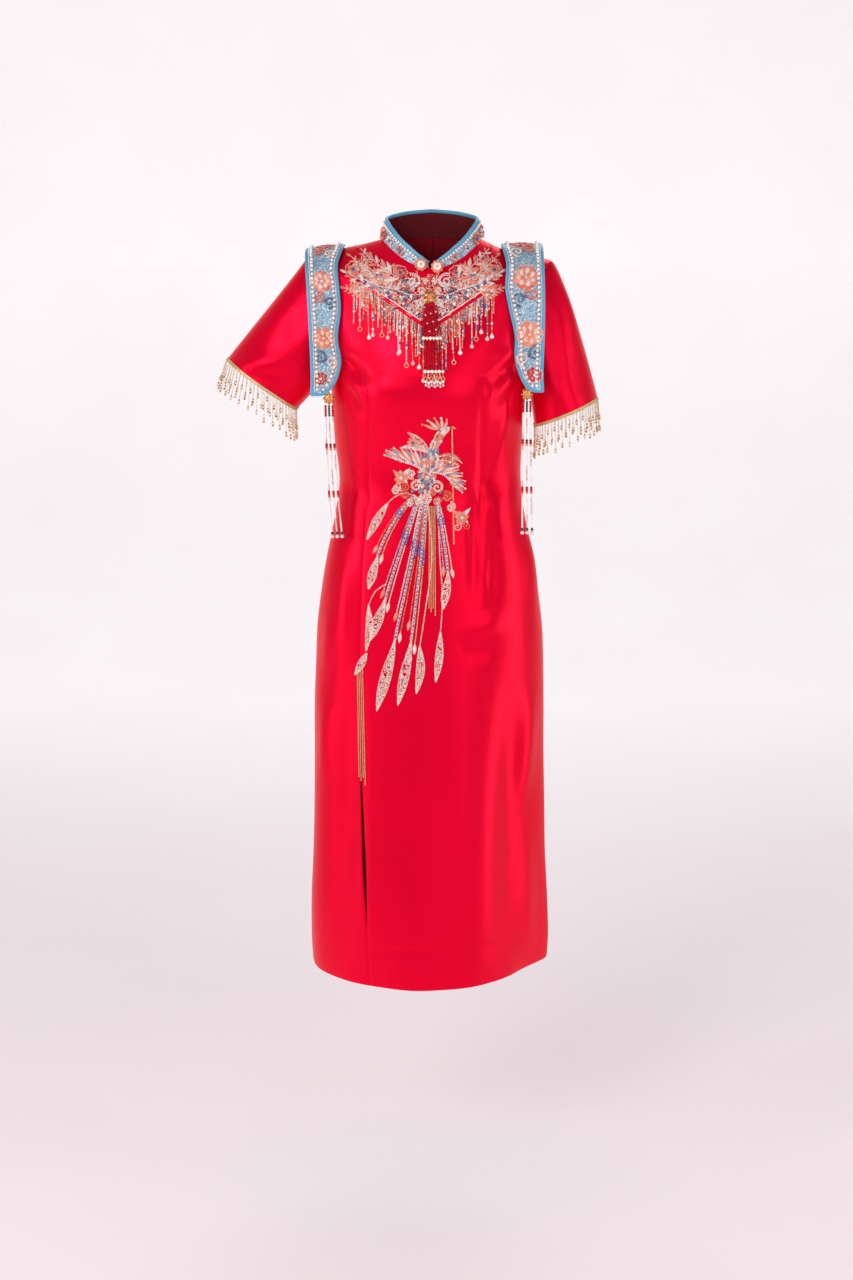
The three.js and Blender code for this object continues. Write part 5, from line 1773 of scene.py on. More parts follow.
@dataclass
class Yoke:
    """The beaded yoke on the chest: leaf sprays, flowers and scrolls over a filled band."""

    point: float = -133
    slope: float = 0.66
    reach: Tuple[float, float] = (122, 103)
    band: float = 30.0
    gap: float = 2.1
    chance: Chance = field(default_factory=lambda: np.random.default_rng(3))

    def wide(self, side: Side) -> float:
        """How far the yoke reaches on a side."""
        return self.reach[0 if side is Side.LEFT else 1]

    def edge(self, x: Array) -> Array:
        """Height of the yoke's lower edge."""
        return self.point + self.slope * np.abs(x)

    def build(self) -> None:
        """Makes the yoke."""
        batch = Batch("yoke_beadwork")
        work = Needlework(batch, FRONT, self.chance, 0.9)
        self.fill(work)
        for side in Side:
            self.sew_half(work, side)
        self.pipe(batch)
        batch.build("coral_beads", ["yoke_embroidery"])

    def fill(self, work: Needlework) -> None:
        """Fills the band above the lower edge with small beads, a little unevenly."""
        x, z = jittered((-self.reach[0], self.reach[1], self.point, -12), self.gap, self.chance).T
        over, far = z - self.edge(x), np.abs(x)
        waves = 3 * np.sin(x * 0.16) + 3 * np.sin(x * 0.37 + z * 0.2)
        inside = (over > 7) & (z < YOKE_TOP.look("x", far, "z") + waves) & (far < 114)
        inside &= (far >= 11) | (z >= -94)
        x, z, over, far = (values[inside] for values in (x, z, over, far))
        worm = np.sin(x * 0.42 + 2 * np.sin(z * 0.27)) * np.sin(z * 0.5 + 1.5 * np.sin(x * 0.2))
        high = over > self.band
        open_ = (worm > np.where(high, np.where(far > 48, -0.5, 0.0), 0.45)) & (far > 12)
        spots = np.stack([x, z], 1)
        work.scatter(spots[~open_ & ~high], 1.15, (CREAM, 0.28), (CORAL, 0.3), (CLEAR_PINK, 0.1),
                     (PEARL, 0.18), (GREY_BLUE, 0.05), (RED_GLASS, 0.09))
        work.scatter(spots[~open_ & high], 1.05, (CORAL, 0.64), (RED_GLASS, 0.14), (CREAM, 0.08),
                     (PEARL, 0.14))
        work.scatter(spots[open_ & ~high][::3], 0.85, (RED_GLASS, 0.7), (CORAL, 0.3))

    def sew_half(self, work: Needlework, side: Side) -> None:
        """Sews the sprays, flowers and scrolls of one half."""
        hand = side.sign
        stretch = self.wide(side) / 115

        def spot(x: float, z: float) -> Spot:
            """Place on this half."""
            return hand * x * (1 + (stretch - 1) * min(1, x / 60)), z

        def path(*stops: Spot) -> Array:
            """Smooth line through places on this half."""
            rows = Table("x z", [spot(*stop) for stop in stops])
            at = np.linspace(0, rows.last, 24)
            return np.stack([rows.smooth(at, "x"), rows.smooth(at, "z")], 1)

        for stops, count, long, wide, *finishes in (
            (((44, -58), (62, -46), (80, -32), (98, -16)), 6, 23, 7.6, CORAL_THREAD, CREAM_THREAD),
            (((60, -62), (86, -48), (110, -28)), 5, 21, 7.2, ORANGE_THREAD, CORAL_THREAD),
            (((72, -70), (94, -62), (117, -50)), 5, 20, 7.0, CREAM_THREAD, CORAL_THREAD),
            (((84, -77), (100, -76), (118, -72)), 5, 19, 6.6, CORAL_THREAD, ORANGE_THREAD),
            (((62, -76), (46, -68), (28, -66)), 6, 13, 5.4, CREAM_THREAD, CORAL_THREAD),
            (((70, -50), (58, -42), (50, -40)), 4, 13, 5.4, ORANGE_THREAD, CORAL_THREAD),
        ):
            work.spray(path(*stops), count, long, wide, finishes)
        for x, z, radius, outer, inner in (
            (107, -46, 11, ORANGE_THREAD, CORAL_THREAD), (26, -104, 7, CORAL_THREAD, CREAM_THREAD),
            (47, -90, 7.5, ORANGE_THREAD, CORAL_THREAD), (69, -78, 7.5, CORAL_THREAD, CREAM_THREAD),
            (42, -50, 9.5, RED_THREAD, CORAL_THREAD), (74, -54, 8, CREAM_THREAD, CORAL_THREAD),
            (88, -30, 8, CORAL_THREAD, ORANGE_THREAD), (14, -100, 6, ORANGE_THREAD, CREAM_THREAD),
        ):
            work.flower(spot(x, z), radius, 6, outer, inner, BLUE_GLASS)
            work.edging(spot(x, z), radius * 1.1, CREAM, 0.9)
        for x, z, radius, start, finish, wind in (
            (24, -62, 12, 1.2, PEARL, 1), (57, -64, 9, 2.6, CREAM, -1),
            (36, -78, 8, 4.4, GREY_BLUE, -1), (15, -92, 8, 2.0, PEARL, 1),
            (84, -60, 8, 0.8, PEARL, 1), (13, -76, 7.5, 5.0, CREAM, -1),
            (92, -42, 7, 2.0, CREAM, 1), (94, -70, 6, 1.0, PEARL, -1), (62, -46, 7, 4.0, PEARL, 1),
            (7, -62, 5, 0.5, CREAM, 1), (36, -62, 6, 3.0, GREY_BLUE, 1),
        ):
            start = start if hand > 0 else math.pi - start
            work.curl(spot(x, z), radius, 1.45, start, finish, 1.2, wind * hand, 2)
        for i, angle in enumerate((1.7, 2.05, 2.4, 2.75, 3.05)):
            work.petals(spot(12 + 2.6 * i, -64), -hand * angle, 21 - 1.6 * i, 5.0,
                        GREY_THREAD if i % 2 else CREAM_THREAD, 1.8, LEAF)
        divider = path((8, -82), (28, -84), (50, -76), (74, -70), (100, -58))
        work.line(divider, 1.1, GREY_BLUE, 1.0, 0.6)
        work.line(divider + [0, 2.4], 1.1, PEARL, 1.05, 0.6)
        stones = np.array([spot(x, z) for x, z in (
            (14, -112), (33, -98), (37, -88), (56, -86), (58, -79), (80, -72), (22, -88), (90, -64),
            (68, -54),
        )])
        work.beads(stones, 2.5, BLUE_GLASS, GEM, 1.2)
        work.beads(stones + [hand * 5.0, 3.4], 2.1, PEARL, ROUND, 0.8)

    def pipe(self, batch: Batch) -> None:
        """Lays a satin band and a white cord along the lower edge, open behind the tassel."""
        for stops in ((-self.reach[0] + 20, -13), (13, self.reach[1] - 10)):
            x = np.linspace(*stops, 50)
            for rise, wide, thick, lift, finish in (
                (2.2, 4.6, 1.6, 1.0, RED_SATIN), (5.6, 1.5, 1.5, 1.9, WHITE_CORD),
            ):
                path, axes = FRONT.at(x, self.edge(x) + rise, lift)
                sweep(batch, path, axes[..., 2], wide, thick, finish)


YOKE_TOP = Table("x z", (
    (0, -52), (10, -52), (20, -50), (40, -48), (58, -42), (74, -30), (96, -18), (112, -28),
))
FRINGE_TIPS = Table("x z", ((0, -212), (24, -199), (50, -166), (75, -148), (124, -139)))


@dataclass
class YokeFringe:
    """One half of the fringe that hangs from the yoke: a dense short layer and a long one."""

    side: Side
    yoke: Yoke
    lift: float = 3.0

    def build(self) -> None:
        """Makes the fringe."""
        name = self.side.value
        chance = np.random.default_rng(31 + self.side.sign)
        batch = Batch(f"{name}_yoke_fringe")
        for layer, (start, step, low, high) in enumerate((
            (13, 2.2, 0.16, 0.44), (13, 3.8, 0.36, 0.68), (8, 8.6, 0.8, 1.04),
        )):
            x = np.arange(start, self.yoke.wide(self.side) - 5, step)
            x = x + chance.uniform(-0.3, 0.3, len(x)) * step
            top = self.yoke.edge(x) - 1.0
            full = np.maximum(top - FRINGE_TIPS.look("x", x, "z"), 12)
            share = chance.uniform(low, high, len(x))
            signed = x * self.side.sign
            feet = np.stack([signed + chance.normal(0, 1.6, len(x)), top - full * share], 1)
            lines = FRONT.hang(np.stack([signed, top], 1), feet, 16, self.lift + layer * 0.5 - 1.4)
            for i, line in enumerate(lines):
                string(batch, line, self.links(line, layer, i, chance))
        batch.build("pearl_beads", [f"yoke_fringe_{name}"])

    def links(self, line: Array, layer: int, i: int, chance: Chance) -> List[Link]:
        """Beads of one strand.

        Args:
            line: the strand's thread.
            layer: 0 for the short dense layer, 2 for the long one.
            i: number of the strand.
            chance: source of small differences.

        Returns:
            The beads, from the top.
        """
        shades = (CORAL, CREAM, CORAL, CLEAR_PINK, GREY_BLUE)
        finish = shades[chance.choice(5, p=(0.4, 0.25, 0.15, 0.12, 0.08))]
        if layer < 2:
            room, last = 2.2, (SEED, 1.5, (PEARL, CORAL, CREAM)[i % 3], 2.8)
        elif i % 4 == 3:
            room, last = 6.6, (LOOP, 3.0, GILT_CHAIN, 6.6)
        else:
            room, last = 6.6, (DROP, 3.4, (CLEAR_PINK, PEARL, CLEAR_PINK)[i % 3], 8.0)
        made: List[Link] = []
        while sum(link[3] for link in made) < walked(line)[-1] - room - 3.4:
            roll = chance.random()
            if roll < 0.16:
                made.append((BUGLE, 0.95, finish, 4.6))
            elif roll < 0.24 and layer:
                shades = (BLUE_GLASS, GREY_BLUE, PEARL, BLUE_GLASS)
                made.append((ROUND, 1.9, shades[chance.integers(4)], 3.7))
            else:
                made.append((SEED, 1.15, finish if roll < 0.8 else (CREAM, PEARL)[i % 2], 2.1))
        return made + [last]


@dataclass
class Tassel:
    """The gilt flower in the middle of the yoke, with a tassel of red beads in two tiers."""

    middle: float = -85.0
    lean: float = 0.055
    lift: float = 5.6

    def threads(self, top: float, foot: float, above: float, below: float, count: int) -> Array:
        """Lines of the threads between two heights, with half widths at both."""
        part = np.linspace(-1, 1, count)
        ends = (np.stack([part * half + (self.middle - z) * self.lean, np.full(count, z)], 1)
                for z, half in ((top, above), (foot, below)))
        return FRONT.hang(*ends, 10, self.lift + 0.8 * np.cos(part * 1.5))

    def build(self) -> None:
        """Makes the tassel and the flower above it."""
        for name, top, foot, above, below, count in (
            ("tassel_upper", -95, -141, 9.0, 13.5, 9),
            ("tassel_lower", -147.5, -189, 10.5, 12.0, 7),
        ):
            batch = Batch(name)
            for i, line in enumerate(self.threads(top, foot, above, below, count)):
                links: List[Link] = [(SEED, 1.35, RED_GLASS, 2.5)] * 22
                if name == "tassel_upper":
                    links[(i * 5) % 16 + 1] = (ROUND, 1.2, PEARL, 2.4)
                string(batch, line, links)
            batch.build("red_beads", [name])
        for name, top, half in (
            ("tassel_band_upper", -141.2, 12.5), ("tassel_band_lower", -189.2, 13.0),
        ):
            batch = Batch(name)
            for i, line in enumerate(self.threads(top, top - 6.6, half, half, 6)):
                links = [(ROUND, 2.9 - 0.4 * (i % 2), PEARL, 4.8), (SEED, 1.0, GOLD, 1.8)]
                string(batch, line - [0, 1.6, 0], links)
            batch.build("pearl_beads", [name])
        batch = Batch("tassel_drops")
        for i, line in enumerate(self.threads(-195.6, -217.5, 13.0, 12.5, 7)):
            links = [(SEED, 1.1, (CORAL, CREAM)[i % 2], 2.0)] * (2 + i % 2)
            links += (LOOP, 2.6, GILT_CHAIN, 5.0), (ROUND, 2.2, PEARL, 4.0)
            string(batch, line, [*links, (DROP, 2.1, CLEAR_PINK, 5.2)])
        batch.build("pearl_beads", ["tassel_drops"])
        self.make_flower()

    def make_flower(self) -> None:
        """Makes the gilt flower of four lobes with a coral stone."""
        batch = Batch("centre_flower")
        where = FRONT.at([0.0], [self.middle], 3.0)
        batch.ring(*where, 4, 5, 0, (5.2, 5.2, 1.9), GOLD, start=math.pi / 4)
        batch.ring(*where, 4, 5, 1.6, 1.9, CORAL, GEM, math.pi / 4)
        batch.ring(*where, 1, 0, 2.0, (3.4, 3.4, 2.4), CORAL)
        batch.ring(*where, 12, 4.4, 2.0, 0.8, GOLD, SEED)
        batch.build("gold_metal", ["centre_disk"])


@dataclass
class Fastening:
    """The two domed buttons at the neck, which look like flowers of pearl and coral."""

    radius: float = 7.0

    def build(self) -> None:
        """Makes both buttons."""
        for side, x, z in ((Side.LEFT, -13.0, -37.0), (Side.RIGHT, 11.0, -40.0)):
            batch = Batch(f"neck_button_{side.value}")
            seat, _ = FRONT.at([x], [z - self.radius], 2.6)
            seat[0, [0, 2]] = x, z
            axes = frames(np.array([[0.0, -1.0, 0.15]]), np.array([[0.0, 0.0, 1.0]]))
            for count, reach, rise, size, finish, shape in (
                (1, 0, 1.5, (7.2, 7.2, 5.4), CREAM, ROUND),
                (9, 7.0, 2.0, 2.9, ORANGE_THREAD, ROUND),
                (6, 3.7, 5.6, 2.1, PEARL, ROUND), (1, 0, 7.2, 1.7, GOLD, SEED),
            ):
                batch.ring(seat, axes, count, reach, rise, size, finish, shape)
            batch.build("coral_beads", [f"neck_button_{side.value}"])


@dataclass
class Pendant:
    """A gilt medallion at the end of a shoulder panel, with three strings of beads."""

    side: Side
    x: float
    z: float
    y: float
    drift: Spot
    radius: float = 9.5
    long: float = 205.0
    spread: Spot = (5.2, 7.5)

    def build(self) -> None:
        """Makes the medallion and its strings."""
        name = self.side.value
        batch = Batch(f"medallion_{name}")
        axes = frames(np.array([[0.0, -1.0, 0.0]]), np.array([[0.0, 0.0, 1.0]]))
        centre = np.array([[self.x, self.y, self.z]])
        for count, reach, rise, size, finish, shape in (
            (1, 0, 0, (7.4, 7.4, 2.2), GOLD, ROUND), (8, 7.2, 0.8, 2.2, GOLD, ROUND),
            (16, 5.0, 1.9, 0.8, GILT_CHAIN, ROUND), (8, 7.2, 2.6, 0.9, CORAL, ROUND),
            (1, 0, 1.6, 3.4, CORAL, GEM),
        ):
            batch.ring(centre, axes, count, reach, rise, size, finish, shape)
        batch.build("gold_metal", [f"medallion_{name}"])
        for number, place in enumerate((-1, 0, 1), 1):
            batch = Batch(f"string_{name}_{number}")
            down = np.linspace(0, 1, 40)
            bend = np.interp(down, (0, 1), self.drift) * down
            aside = place * np.interp(down, (0, 1), self.spread)
            top = self.z - self.radius - 0.3
            path = vectors(self.x + bend + aside, self.y - 2, top - self.long * down)
            string(batch, path, self.links(number))
            batch.build("pearl_beads", [f"strand_{name}_{number}"])

    def links(self, number: int) -> List[Link]:
        """Beads of one string: red pairs at a third and at two thirds, a dark bead near its end."""
        made: List[Link] = []
        at = 0.0
        while at < self.long - 6:
            share = at / self.long
            if abs(share - 0.3) < 0.024 or abs(share - 0.64) < 0.024:
                kind = (ROUND, 2.2, RED_GLASS if int(at / 3.4) % 3 else CORAL, 3.4)
            elif 0.926 < share < 0.952:
                kind = (ROUND, 2.4, GREEN_GLASS, 4.4)
            elif share > 0.952:
                kind = (ROUND, 3.1, PINK_ROUND, 5.6)
            elif share < 0.07:
                kind = (ROUND, 2.0, RED_GLASS if number != 2 else GREEN_GLASS, 3.4)
            else:
                kind = (SEED, 1.75, CLEAR_PINK if int(at / 24 + number) % 3 == 0 else PEARL, 2.9)
            made.append(kind)
            at += kind[3]
        return made


@dataclass
class Chain:
    """Fine gilt chains that hang side by side on the front."""

    node: str
    top: Spot
    foot: Spot
    offsets: Tuple[float, ...]
    radius: float = 0.95
    leaf: Sequence[Row] = ()

    def build(self) -> None:
        """Makes the chains."""
        batch = Batch(self.node)
        chance = np.random.default_rng(len(self.offsets))
        for aside in self.offsets:
            short = chance.uniform(0, 14) if len(self.offsets) > 1 else 0.0
            tops = np.array([[self.top[0] + aside, self.top[1]]])
            feet = np.array([[self.foot[0] + aside * 1.2, self.foot[1] + short]])
            line = FRONT.hang(tops, feet, 30, 1.5)[0]
            string(batch, line, [(SEED, self.radius, GILT_CHAIN, self.radius * 1.95)] * 300)
        if self.leaf:
            Needlework(batch, FRONT, chance, 1.2).blade(leafy(spine(self.leaf), self.leaf[1][2]))
        batch.build("gold_metal", [self.node])


# ---- phoenix ------------------------------------------------------------------------------------


@dataclass
class Phoenix:
    """A phoenix of beads and sequins with a fan of tail plumes, leaves and two blossoms."""

    chance: Chance = field(default_factory=lambda: np.random.default_rng(8))
    lift: float = 0.5

    def build(self) -> None:
        """Makes the whole figure."""
        self.make_body()
        self.make_wing("phoenix_wing_left", ((0, -346), (-20, -334), (-42, -326)), (-0.1, 1.25),
                       (34, 36))
        self.make_wing("phoenix_wing_right", ((2, -342), (20, -346), (34, -360)), (-0.75, -2.35),
                       (30, 27))
        for name, x, z, radius in (
            ("blossom_left", -43, -352, 11), ("blossom_right", 48, -412, 10.5),
        ):
            batch, work = self.start(name)
            for angle, long in ((0.9, 17), (-0.7, 20), (2.6, 15), (-2.2, 13)):
                finish = ORANGE_THREAD if angle > 0 else CREAM_THREAD
                work.petals((x, z), angle, long, 6, finish, 1.4, LEAF)
            work.flower((x, z), radius, 7, CORAL_THREAD, ORANGE_THREAD, PEARL)
            work.curl((x - 7, z - radius * 1.3), radius * 0.62, 1.3, 1.0, CREAM, 1.1, -1)
            work.curl((x + 8, z - radius * 1.2), radius * 0.56, 1.3, 2.4, CORAL, 1.1)
            batch.build("coral_beads", [name])
        for name, rows in PLUMES.items():
            self.make_plume(name, rows)
        for name, rows in LEAVES.items():
            batch, work = self.start(name)
            work.blade(leafy(spine(rows), rows[1][2]))
            batch.build("coral_beads", [name])

    def start(self, name: str) -> Tuple[Batch, Needlework]:
        """An empty mesh and what sews onto it."""
        batch = Batch(name)
        return batch, Needlework(batch, FRONT, self.chance, self.lift)

    def make_body(self) -> None:
        """Makes the head with its crest, the neck, the breast and the scrolls behind it."""
        batch, work = self.start("phoenix_body")
        for root, angle, long, bow in (
            ((6, -322), 0.62, 52, 0.16), ((4, -326), 0.3, 57, 0.1), ((8, -318), -0.02, 44, -0.1),
            ((8, -322), -0.95, 40, -0.2), ((8, -326), -1.3, 36, -0.12),
        ):
            share = np.linspace(0, 1, 24)
            path = root + long * share[:, None] * headings(angle + bow * 4 * share)
            work.blade(leafy(path, 8.0, 0.62), CREAM if bow > 0 else CORAL, 0.95)
            work.line(path, 0.9, (CORAL, PEARL)[long % 4 == 0], 1.2, 0.9)
        rows = ((27, -272, 4), (16, -284, 9), (7, -304, 11), (2, -326, 24), (-5, -350, 23),
                (-8, -380, 9))
        line = spine(rows, 24)
        heading = unit(np.gradient(line[:, :2], axis=0))
        aside = beside(line)
        for i in range(len(line) - 1, 0, -1):
            wide = line[i, 2]
            count = max(2, int(round(wide / 3.2)))
            across = np.linspace(-0.41, 0.41, count) * wide + self.chance.uniform(-0.8, 0.8, count)
            angle = math.atan2(-heading[i, 0], heading[i, 1])
            shades = (CREAM_THREAD, CORAL_THREAD, ORANGE_THREAD) if i % 9 > 3 else (
                GREY_THREAD, GREY_THREAD, CREAM_THREAD)
            for off in across:
                lean = angle - off * 0.05 + self.chance.normal(0, 0.14)
                work.petals(line[i, :2] + aside[i] * off, lean, 7.5, 4.2,
                            shades[self.chance.integers(3)], 1.5, lift=0.5 + (len(line) - i) * 0.05)
        work.curl((1, -334), 9.5, 1.6, 0.4, PEARL, 1.25)
        work.curl((-3, -352), 8, 1.5, 2.6, CREAM, 1.15, -1)
        self.make_head(work)
        for x, z, radius, start, hand, finish in (
            (-20, -364, 10, 0.6, 1, CREAM), (-36, -376, 9, 1.4, 1, CORAL),
            (11, -366, 11, 2.6, -1, CREAM), (25, -380, 9, 2.0, -1, CORAL),
            (-5, -382, 9, 4.0, 1, PEARL), (31, -396, 8, 1.5, -1, CREAM),
            (-27, -346, 8, 5.0, -1, CREAM), (12, -388, 8, 0.4, 1, CORAL),
            (-16, -384, 7, 3.0, 1, CREAM), (-50, -372, 8, 0.2, 1, CREAM),
            (4, -372, 7, 3.4, 1, CORAL), (-30, -390, 6, 2.0, -1, CREAM),
        ):
            work.curl((x, z), radius, 1.4, start, finish, 1.3, hand, 2)
        stones = np.array([[4, -334], [-12, -356], [16, -374], [-26, -372]])
        work.beads(stones, 2.4, BLUE_GLASS, GEM, 1.8)
        batch.build("blue_beads", ["phoenix_body"])

    def make_head(self, work: Needlework) -> None:
        """Makes the head, the beak, the eye and the crest."""
        work.petals((15, -285), -0.9, 18, 11, CREAM_THREAD, 2.8, PETAL, 0.9)
        work.petals((30, -273), -1.9, 10, 4.4, ORANGE_THREAD, 2.0, LEAF, 0.9)
        for i, angle in enumerate((1.2, 0.85, 0.5, 0.15, -0.2)):
            root, long = (12 + 2.4 * i, -279), 25 - 2 * i
            work.petals(root, angle, long, 5.0, (CORAL_THREAD, CREAM_THREAD)[i % 2], 1.7, LEAF, 0.6)
            tip = root + long * headings(np.array([angle]))
            work.beads(tip, 1.9, (ORANGE_THREAD, PEARL)[i % 2], ROUND)
        work.beads(np.array([[24.5, -276.5]]), 1.3, BLUE_GLASS, ROUND, 2.8)

    def make_wing(self, name: str, bone: Sequence[Spot], lean: Spot, long: Spot) -> None:
        """Makes one wing: long feathers that grow along a bone, under two rows of short ones.

        Args:
            name: the solid that it stands for.
            bone: places that the bone runs through, from the body.
            lean: direction of the feathers at the body and at the tip.
            long: their lengths there.
        """
        batch, work = self.start(name)
        path = spine([(*spot, 0) for spot in bone], 40)[:, :2]
        for ring, (share, count, wide, finishes) in enumerate((
            (1.0, 13, 5.4, (GREY_THREAD, CREAM_THREAD, CORAL_THREAD)),
            (0.62, 12, 5.2, (CORAL_THREAD, ORANGE_THREAD, CREAM_THREAD)),
            (0.34, 14, 4.6, (CREAM_THREAD, GREY_THREAD, CORAL_THREAD)),
        )):
            part = np.linspace(0, 1, count)
            roots = path[(part * (len(path) - 1)).astype(int)]
            angles = np.interp(part, (0, 1), lean)
            sizes = np.interp(part, (0, 1), long) * share * (1 - 0.25 * (2 * part - 1) ** 4)
            shape = LEAF if lean[1] > lean[0] else LEAF_BACK
            for i in range(count):
                work.petals(roots[i], angles[i], sizes[i], wide, finishes[i % 3], 1.4 + 0.2 * ring,
                            shape, ring * 0.7)
            if not ring:
                tips = roots + sizes[:, None] * headings(angles)
                for i in range(0, count, 2):
                    finish = (CORAL, PEARL)[i % 4 == 0]
                    work.line(np.stack([roots[i], tips[i]]), 0.85, finish, 1.4, 1.3)
                work.beads(tips[::2], 1.5, PEARL, ROUND)
        work.line(path, 1.6, PEARL, 1.05, 2.0)
        work.curl(path[-1], 5.5, 1.2, 0.5, CORAL, 1.1, 1, 2)
        if lean[1] > lean[0]:
            work.flower((-25, -298), 9, 7, ORANGE_THREAD, CORAL_THREAD, BLUE_GLASS)
        batch.build("blue_beads", [name])

    def make_plume(self, name: str, rows: Sequence[Row]) -> None:
        """Makes one plume: three strands that draw apart, the middle one with a leaf of sequins."""
        batch, work = self.start(name)
        line = spine(rows, 60)
        aside = beside(line)
        turn = 41
        part = np.linspace(0, 1, len(line))[:, None]
        line[:, :2] += aside * (PLUME_BOW * np.sin(math.pi * np.minimum(part * 1.35, 1)))
        apart = 2.4 + 5.6 * part
        number = int(name[-1])
        for hand, finish, last in (
            (-1, (CORAL, GILT_CHAIN, CREAM)[number % 3], 42 - 3 * (number % 2)),
            (1, (PEARL, CORAL, TAIL_SEQUIN)[number % 3], 34 + 2 * (number % 3)),
        ):
            path = (line[:, :2] + aside * hand * apart)[:last]
            work.line(path, 1.25, finish, 1.02)
            work.line(path[last * 2 // 5:last // 2], 1.7, BLUE_GLASS, 1.0, 0.3)
            x, z = path[-1] - path[-3]
            finish, shape = (CORAL_THREAD, LEAF) if hand > 0 else (CREAM_THREAD, LEAF_BACK)
            work.petals(path[-1], math.atan2(-x, z), 17, 6.0, finish, 1.6, shape)
        for shift in (-1.25, 1.25):
            work.line((line[:, :2] + aside * shift)[:turn], 1.3, TAIL_SEQUIN, 0.95)
        work.line(line[:turn:2, :2], 1.2, PEARL, 2.4, 1.0)
        work.blade(leafy(line[turn - 1:], rows[2][2]))
        if number in LEAF_STRANDS:
            strand = spine([(*spot, 0) for spot in LEAF_STRANDS[number]])
            work.line(strand[:, :2], 1.2, CREAM, 1.05)
        batch.build("gold_metal", [name])


PLUME_BOW = 4.0
PLUMES = {
    "tail_plume_1": ((-23, -378, 4), (-48, -416, 9), (-76, -468, 13), (-92, -520, 4)),
    "tail_plume_2": ((-17, -386, 4), (-36, -450, 10), (-64, -530, 15), (-90, -598, 4)),
    "tail_plume_3": ((-11, -391, 4), (-24, -480, 10), (-50, -590, 17), (-80, -704, 4)),
    "tail_plume_4": ((-5, -388, 4), (-10, -480, 9), (-26, -590, 15), (-48, -694, 4)),
    "tail_plume_5": ((11, -384, 4), (22, -425, 9), (28, -490, 13), (20, -548, 4)),
}
LEAVES = {
    "leaf_1": ((-63, -391, 3), (-79, -417, 12), (-94, -446, 3)),
    "leaf_2": ((-15, -604, 3), (-14, -640, 13), (-20, -676, 3)),
    "leaf_3": ((-92, -545, 3), (-91, -578, 11), (-96, -614, 3)),
    "leaf_4": ((16, -583, 3), (14, -622, 12), (9, -658, 3)),
}
LEAF_STRANDS = {
    1: ((-16, -383), (-36, -375), (-52, -381), (-63, -391)),
    2: ((-66, -512), (-82, -524), (-92, -545)),
    4: ((-3, -392), (3, -470), (-6, -545), (-15, -604)),
    5: ((12, -392), (15, -470), (19, -530), (16, -583)),
}


# ---- studio -------------------------------------------------------------------------------------


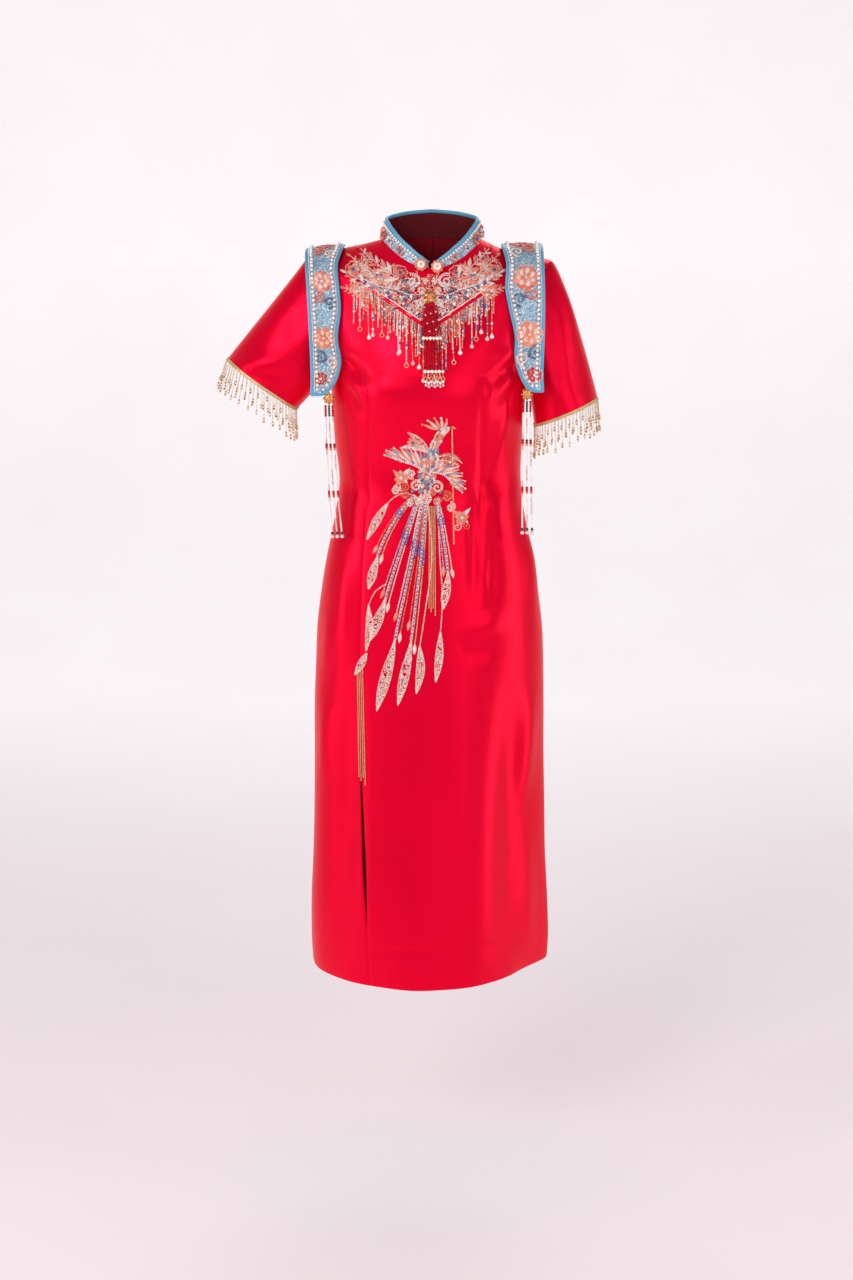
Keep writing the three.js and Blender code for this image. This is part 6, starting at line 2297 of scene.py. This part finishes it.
@dataclass
class Studio:
    """Pale backdrop, soft lights and the camera."""

    floor: float = -1.49
    eye: Row = (-0.005, -3.6, 0.02)
    pitch: float = 80.0
    lens: float = 66.1

    def build(self) -> None:
        """Sets up the studio."""
        scene = bpy.context.scene
        scene.view_settings.view_transform = "Standard"
        self.backdrop()
        self.world()
        self.lamp("key", (-1.5, -2.9, 1.0), (0, 0, -0.55), (1.1, 1.1), 38, (1.0, 0.985, 0.97))
        pink = (1.0, 0.97, 0.98)
        self.lamp("left strip", (-2.5, -1.3, -0.15), (0, 0, -0.5), (0.3, 1.5), 19, pink)
        self.lamp("right strip", (2.6, -0.6, -0.45), (0, 0, -0.5), (0.3, 2.0), 16, pink)
        self.lamp("fill", (1.6, -3.1, 0.2), (0, 0, -0.5), (1.6, 1.6), 19, (0.97, 0.98, 1.0))
        self.lamp("rim", (0.5, 2.0, 1.6), (0, 0, -0.3), (1.4, 1.4), 14, (1.0, 1.0, 1.0))
        camera = bpy.data.objects.new("camera", bpy.data.cameras.new("camera"))
        camera.data.lens = self.lens
        camera.data.sensor_width = 36
        camera.location = self.eye
        camera.rotation_euler = (math.radians(self.pitch), 0, 0)
        scene.collection.objects.link(camera)
        scene.camera = camera

    def backdrop(self) -> None:
        """Makes a floor that sweeps up into a wall and glows with painted light."""
        floor, bend, back = self.floor, 1.4, 5.2
        arc = circle(np.linspace(0, math.pi / 2, 14) - math.pi / 2) * bend
        profile = [(-6.0, floor), *(arc + (back - bend, floor + bend)), (back, 5.0)]
        rows = np.array([[(x, y, z) for x in np.linspace(-7, 7, 15)] for y, z in profile])
        mesh = bpy.data.meshes.new("backdrop")
        mesh.from_pydata(rows.reshape(-1, 3).tolist(), [], quads(*rows.shape[:2]).tolist())
        mesh.shade_smooth()
        graph = Graph("backdrop")
        grain = graph.noise(graph.place(False), 3.0, 3)
        depth = graph.node("SeparateXYZ", None, {0: graph.place(False)}, "Y")
        rise = graph.node("MapRange", {"interpolation_type": "SMOOTHSTEP"}, {
            "Value": depth, "From Min": 0.5, "From Max": 4.6})
        colour = graph.mix(grain, tint("F8F6F7"), tint("F3EFF1"))
        near = graph.mix(1.0, colour, tint("F0E8EB"), "MULTIPLY")
        # The backdrop glows as painted light: its emission is a dimmer grey on the floor near the
        # front and brighter up the wall. Its base colour is also darker and pinker towards the
        # front.
        mesh.materials.append(graph.finish({
            "Base Color": graph.mix(rise, near, colour),
            "Roughness": 0.85 + grain * 0.05, "Specular IOR Level": 0.2,
            "Emission Color": graph.mix(rise, tint("BCB6B8"), colour), "Emission Strength": 0.43}))
        made = bpy.data.objects.new("backdrop", mesh)
        bpy.context.scene.collection.objects.link(made)

    def world(self) -> None:
        """Fills the room with soft white light."""
        world = bpy.data.worlds.new("room")
        world.use_nodes = True
        shade = world.node_tree.nodes["Background"]
        shade.inputs["Color"].default_value = (1.0, 0.965, 0.975, 1)
        shade.inputs["Strength"].default_value = 0.34
        bpy.context.scene.world = world

    def lamp(self, name: str, place: Row, aim: Row, size: Spot, watts: float, colour: Row) -> None:
        """Adds a soft light, as wide and high as given, that faces a point."""
        light = bpy.data.lights.new(name, "AREA")
        light.shape = "RECTANGLE"
        light.energy, light.color = watts, colour
        light.size, light.size_y = size
        made = bpy.data.objects.new(name, light)
        made.location = place
        heading = np.array(aim, float) - np.array(place, float)
        across = unit(np.cross(heading, [0.0, 0.0, 1.0]))
        turn = np.stack([across, np.cross(across, unit(heading)), -unit(heading)])
        made.rotation_euler = mathutils.Matrix(turn.T.tolist()).to_euler()
        bpy.context.scene.collection.objects.link(made)


def main() -> None:
    """Builds the dress and the studio, piece by piece."""
    logging.basicConfig(level=logging.INFO, format="%(name)s: %(message)s")
    Panels(FORM).build()
    for side in Side:
        Sleeve(side, FORM).build()
    Collar(FORM).build()
    ShoulderPanel(Side.LEFT, 1, 1, 7).build()
    ShoulderPanel(Side.RIGHT, 1.092, 0.975, 0).build()
    yoke = Yoke()
    yoke.build()
    for side in Side:
        YokeFringe(side, yoke).build()
    Tassel().build()
    Fastening().build()
    Pendant(Side.LEFT, -151, -235, -71.7, (4, 12)).build()
    Pendant(Side.RIGHT, 145, -228, -78.6, (0, 2)).build()
    Chain("chain_beak", (33, -277), (36, -451), (0.0,), 1.25).build()
    Chain("chains_centre", (3.5, -394), (3.5, -561), (-4.0, -1.4, 1.3, 4.0)).build()
    Chain("chains_slit", (-106, -641), (-103, -823), (-4.0, -1.4, 1.3, 4.0),
          leaf=((-95, -618, 3), (-103, -634, 11), (-113, -652, 3))).build()
    Phoenix().build()
    Studio().build()


if __name__ == "__main__":
    main()
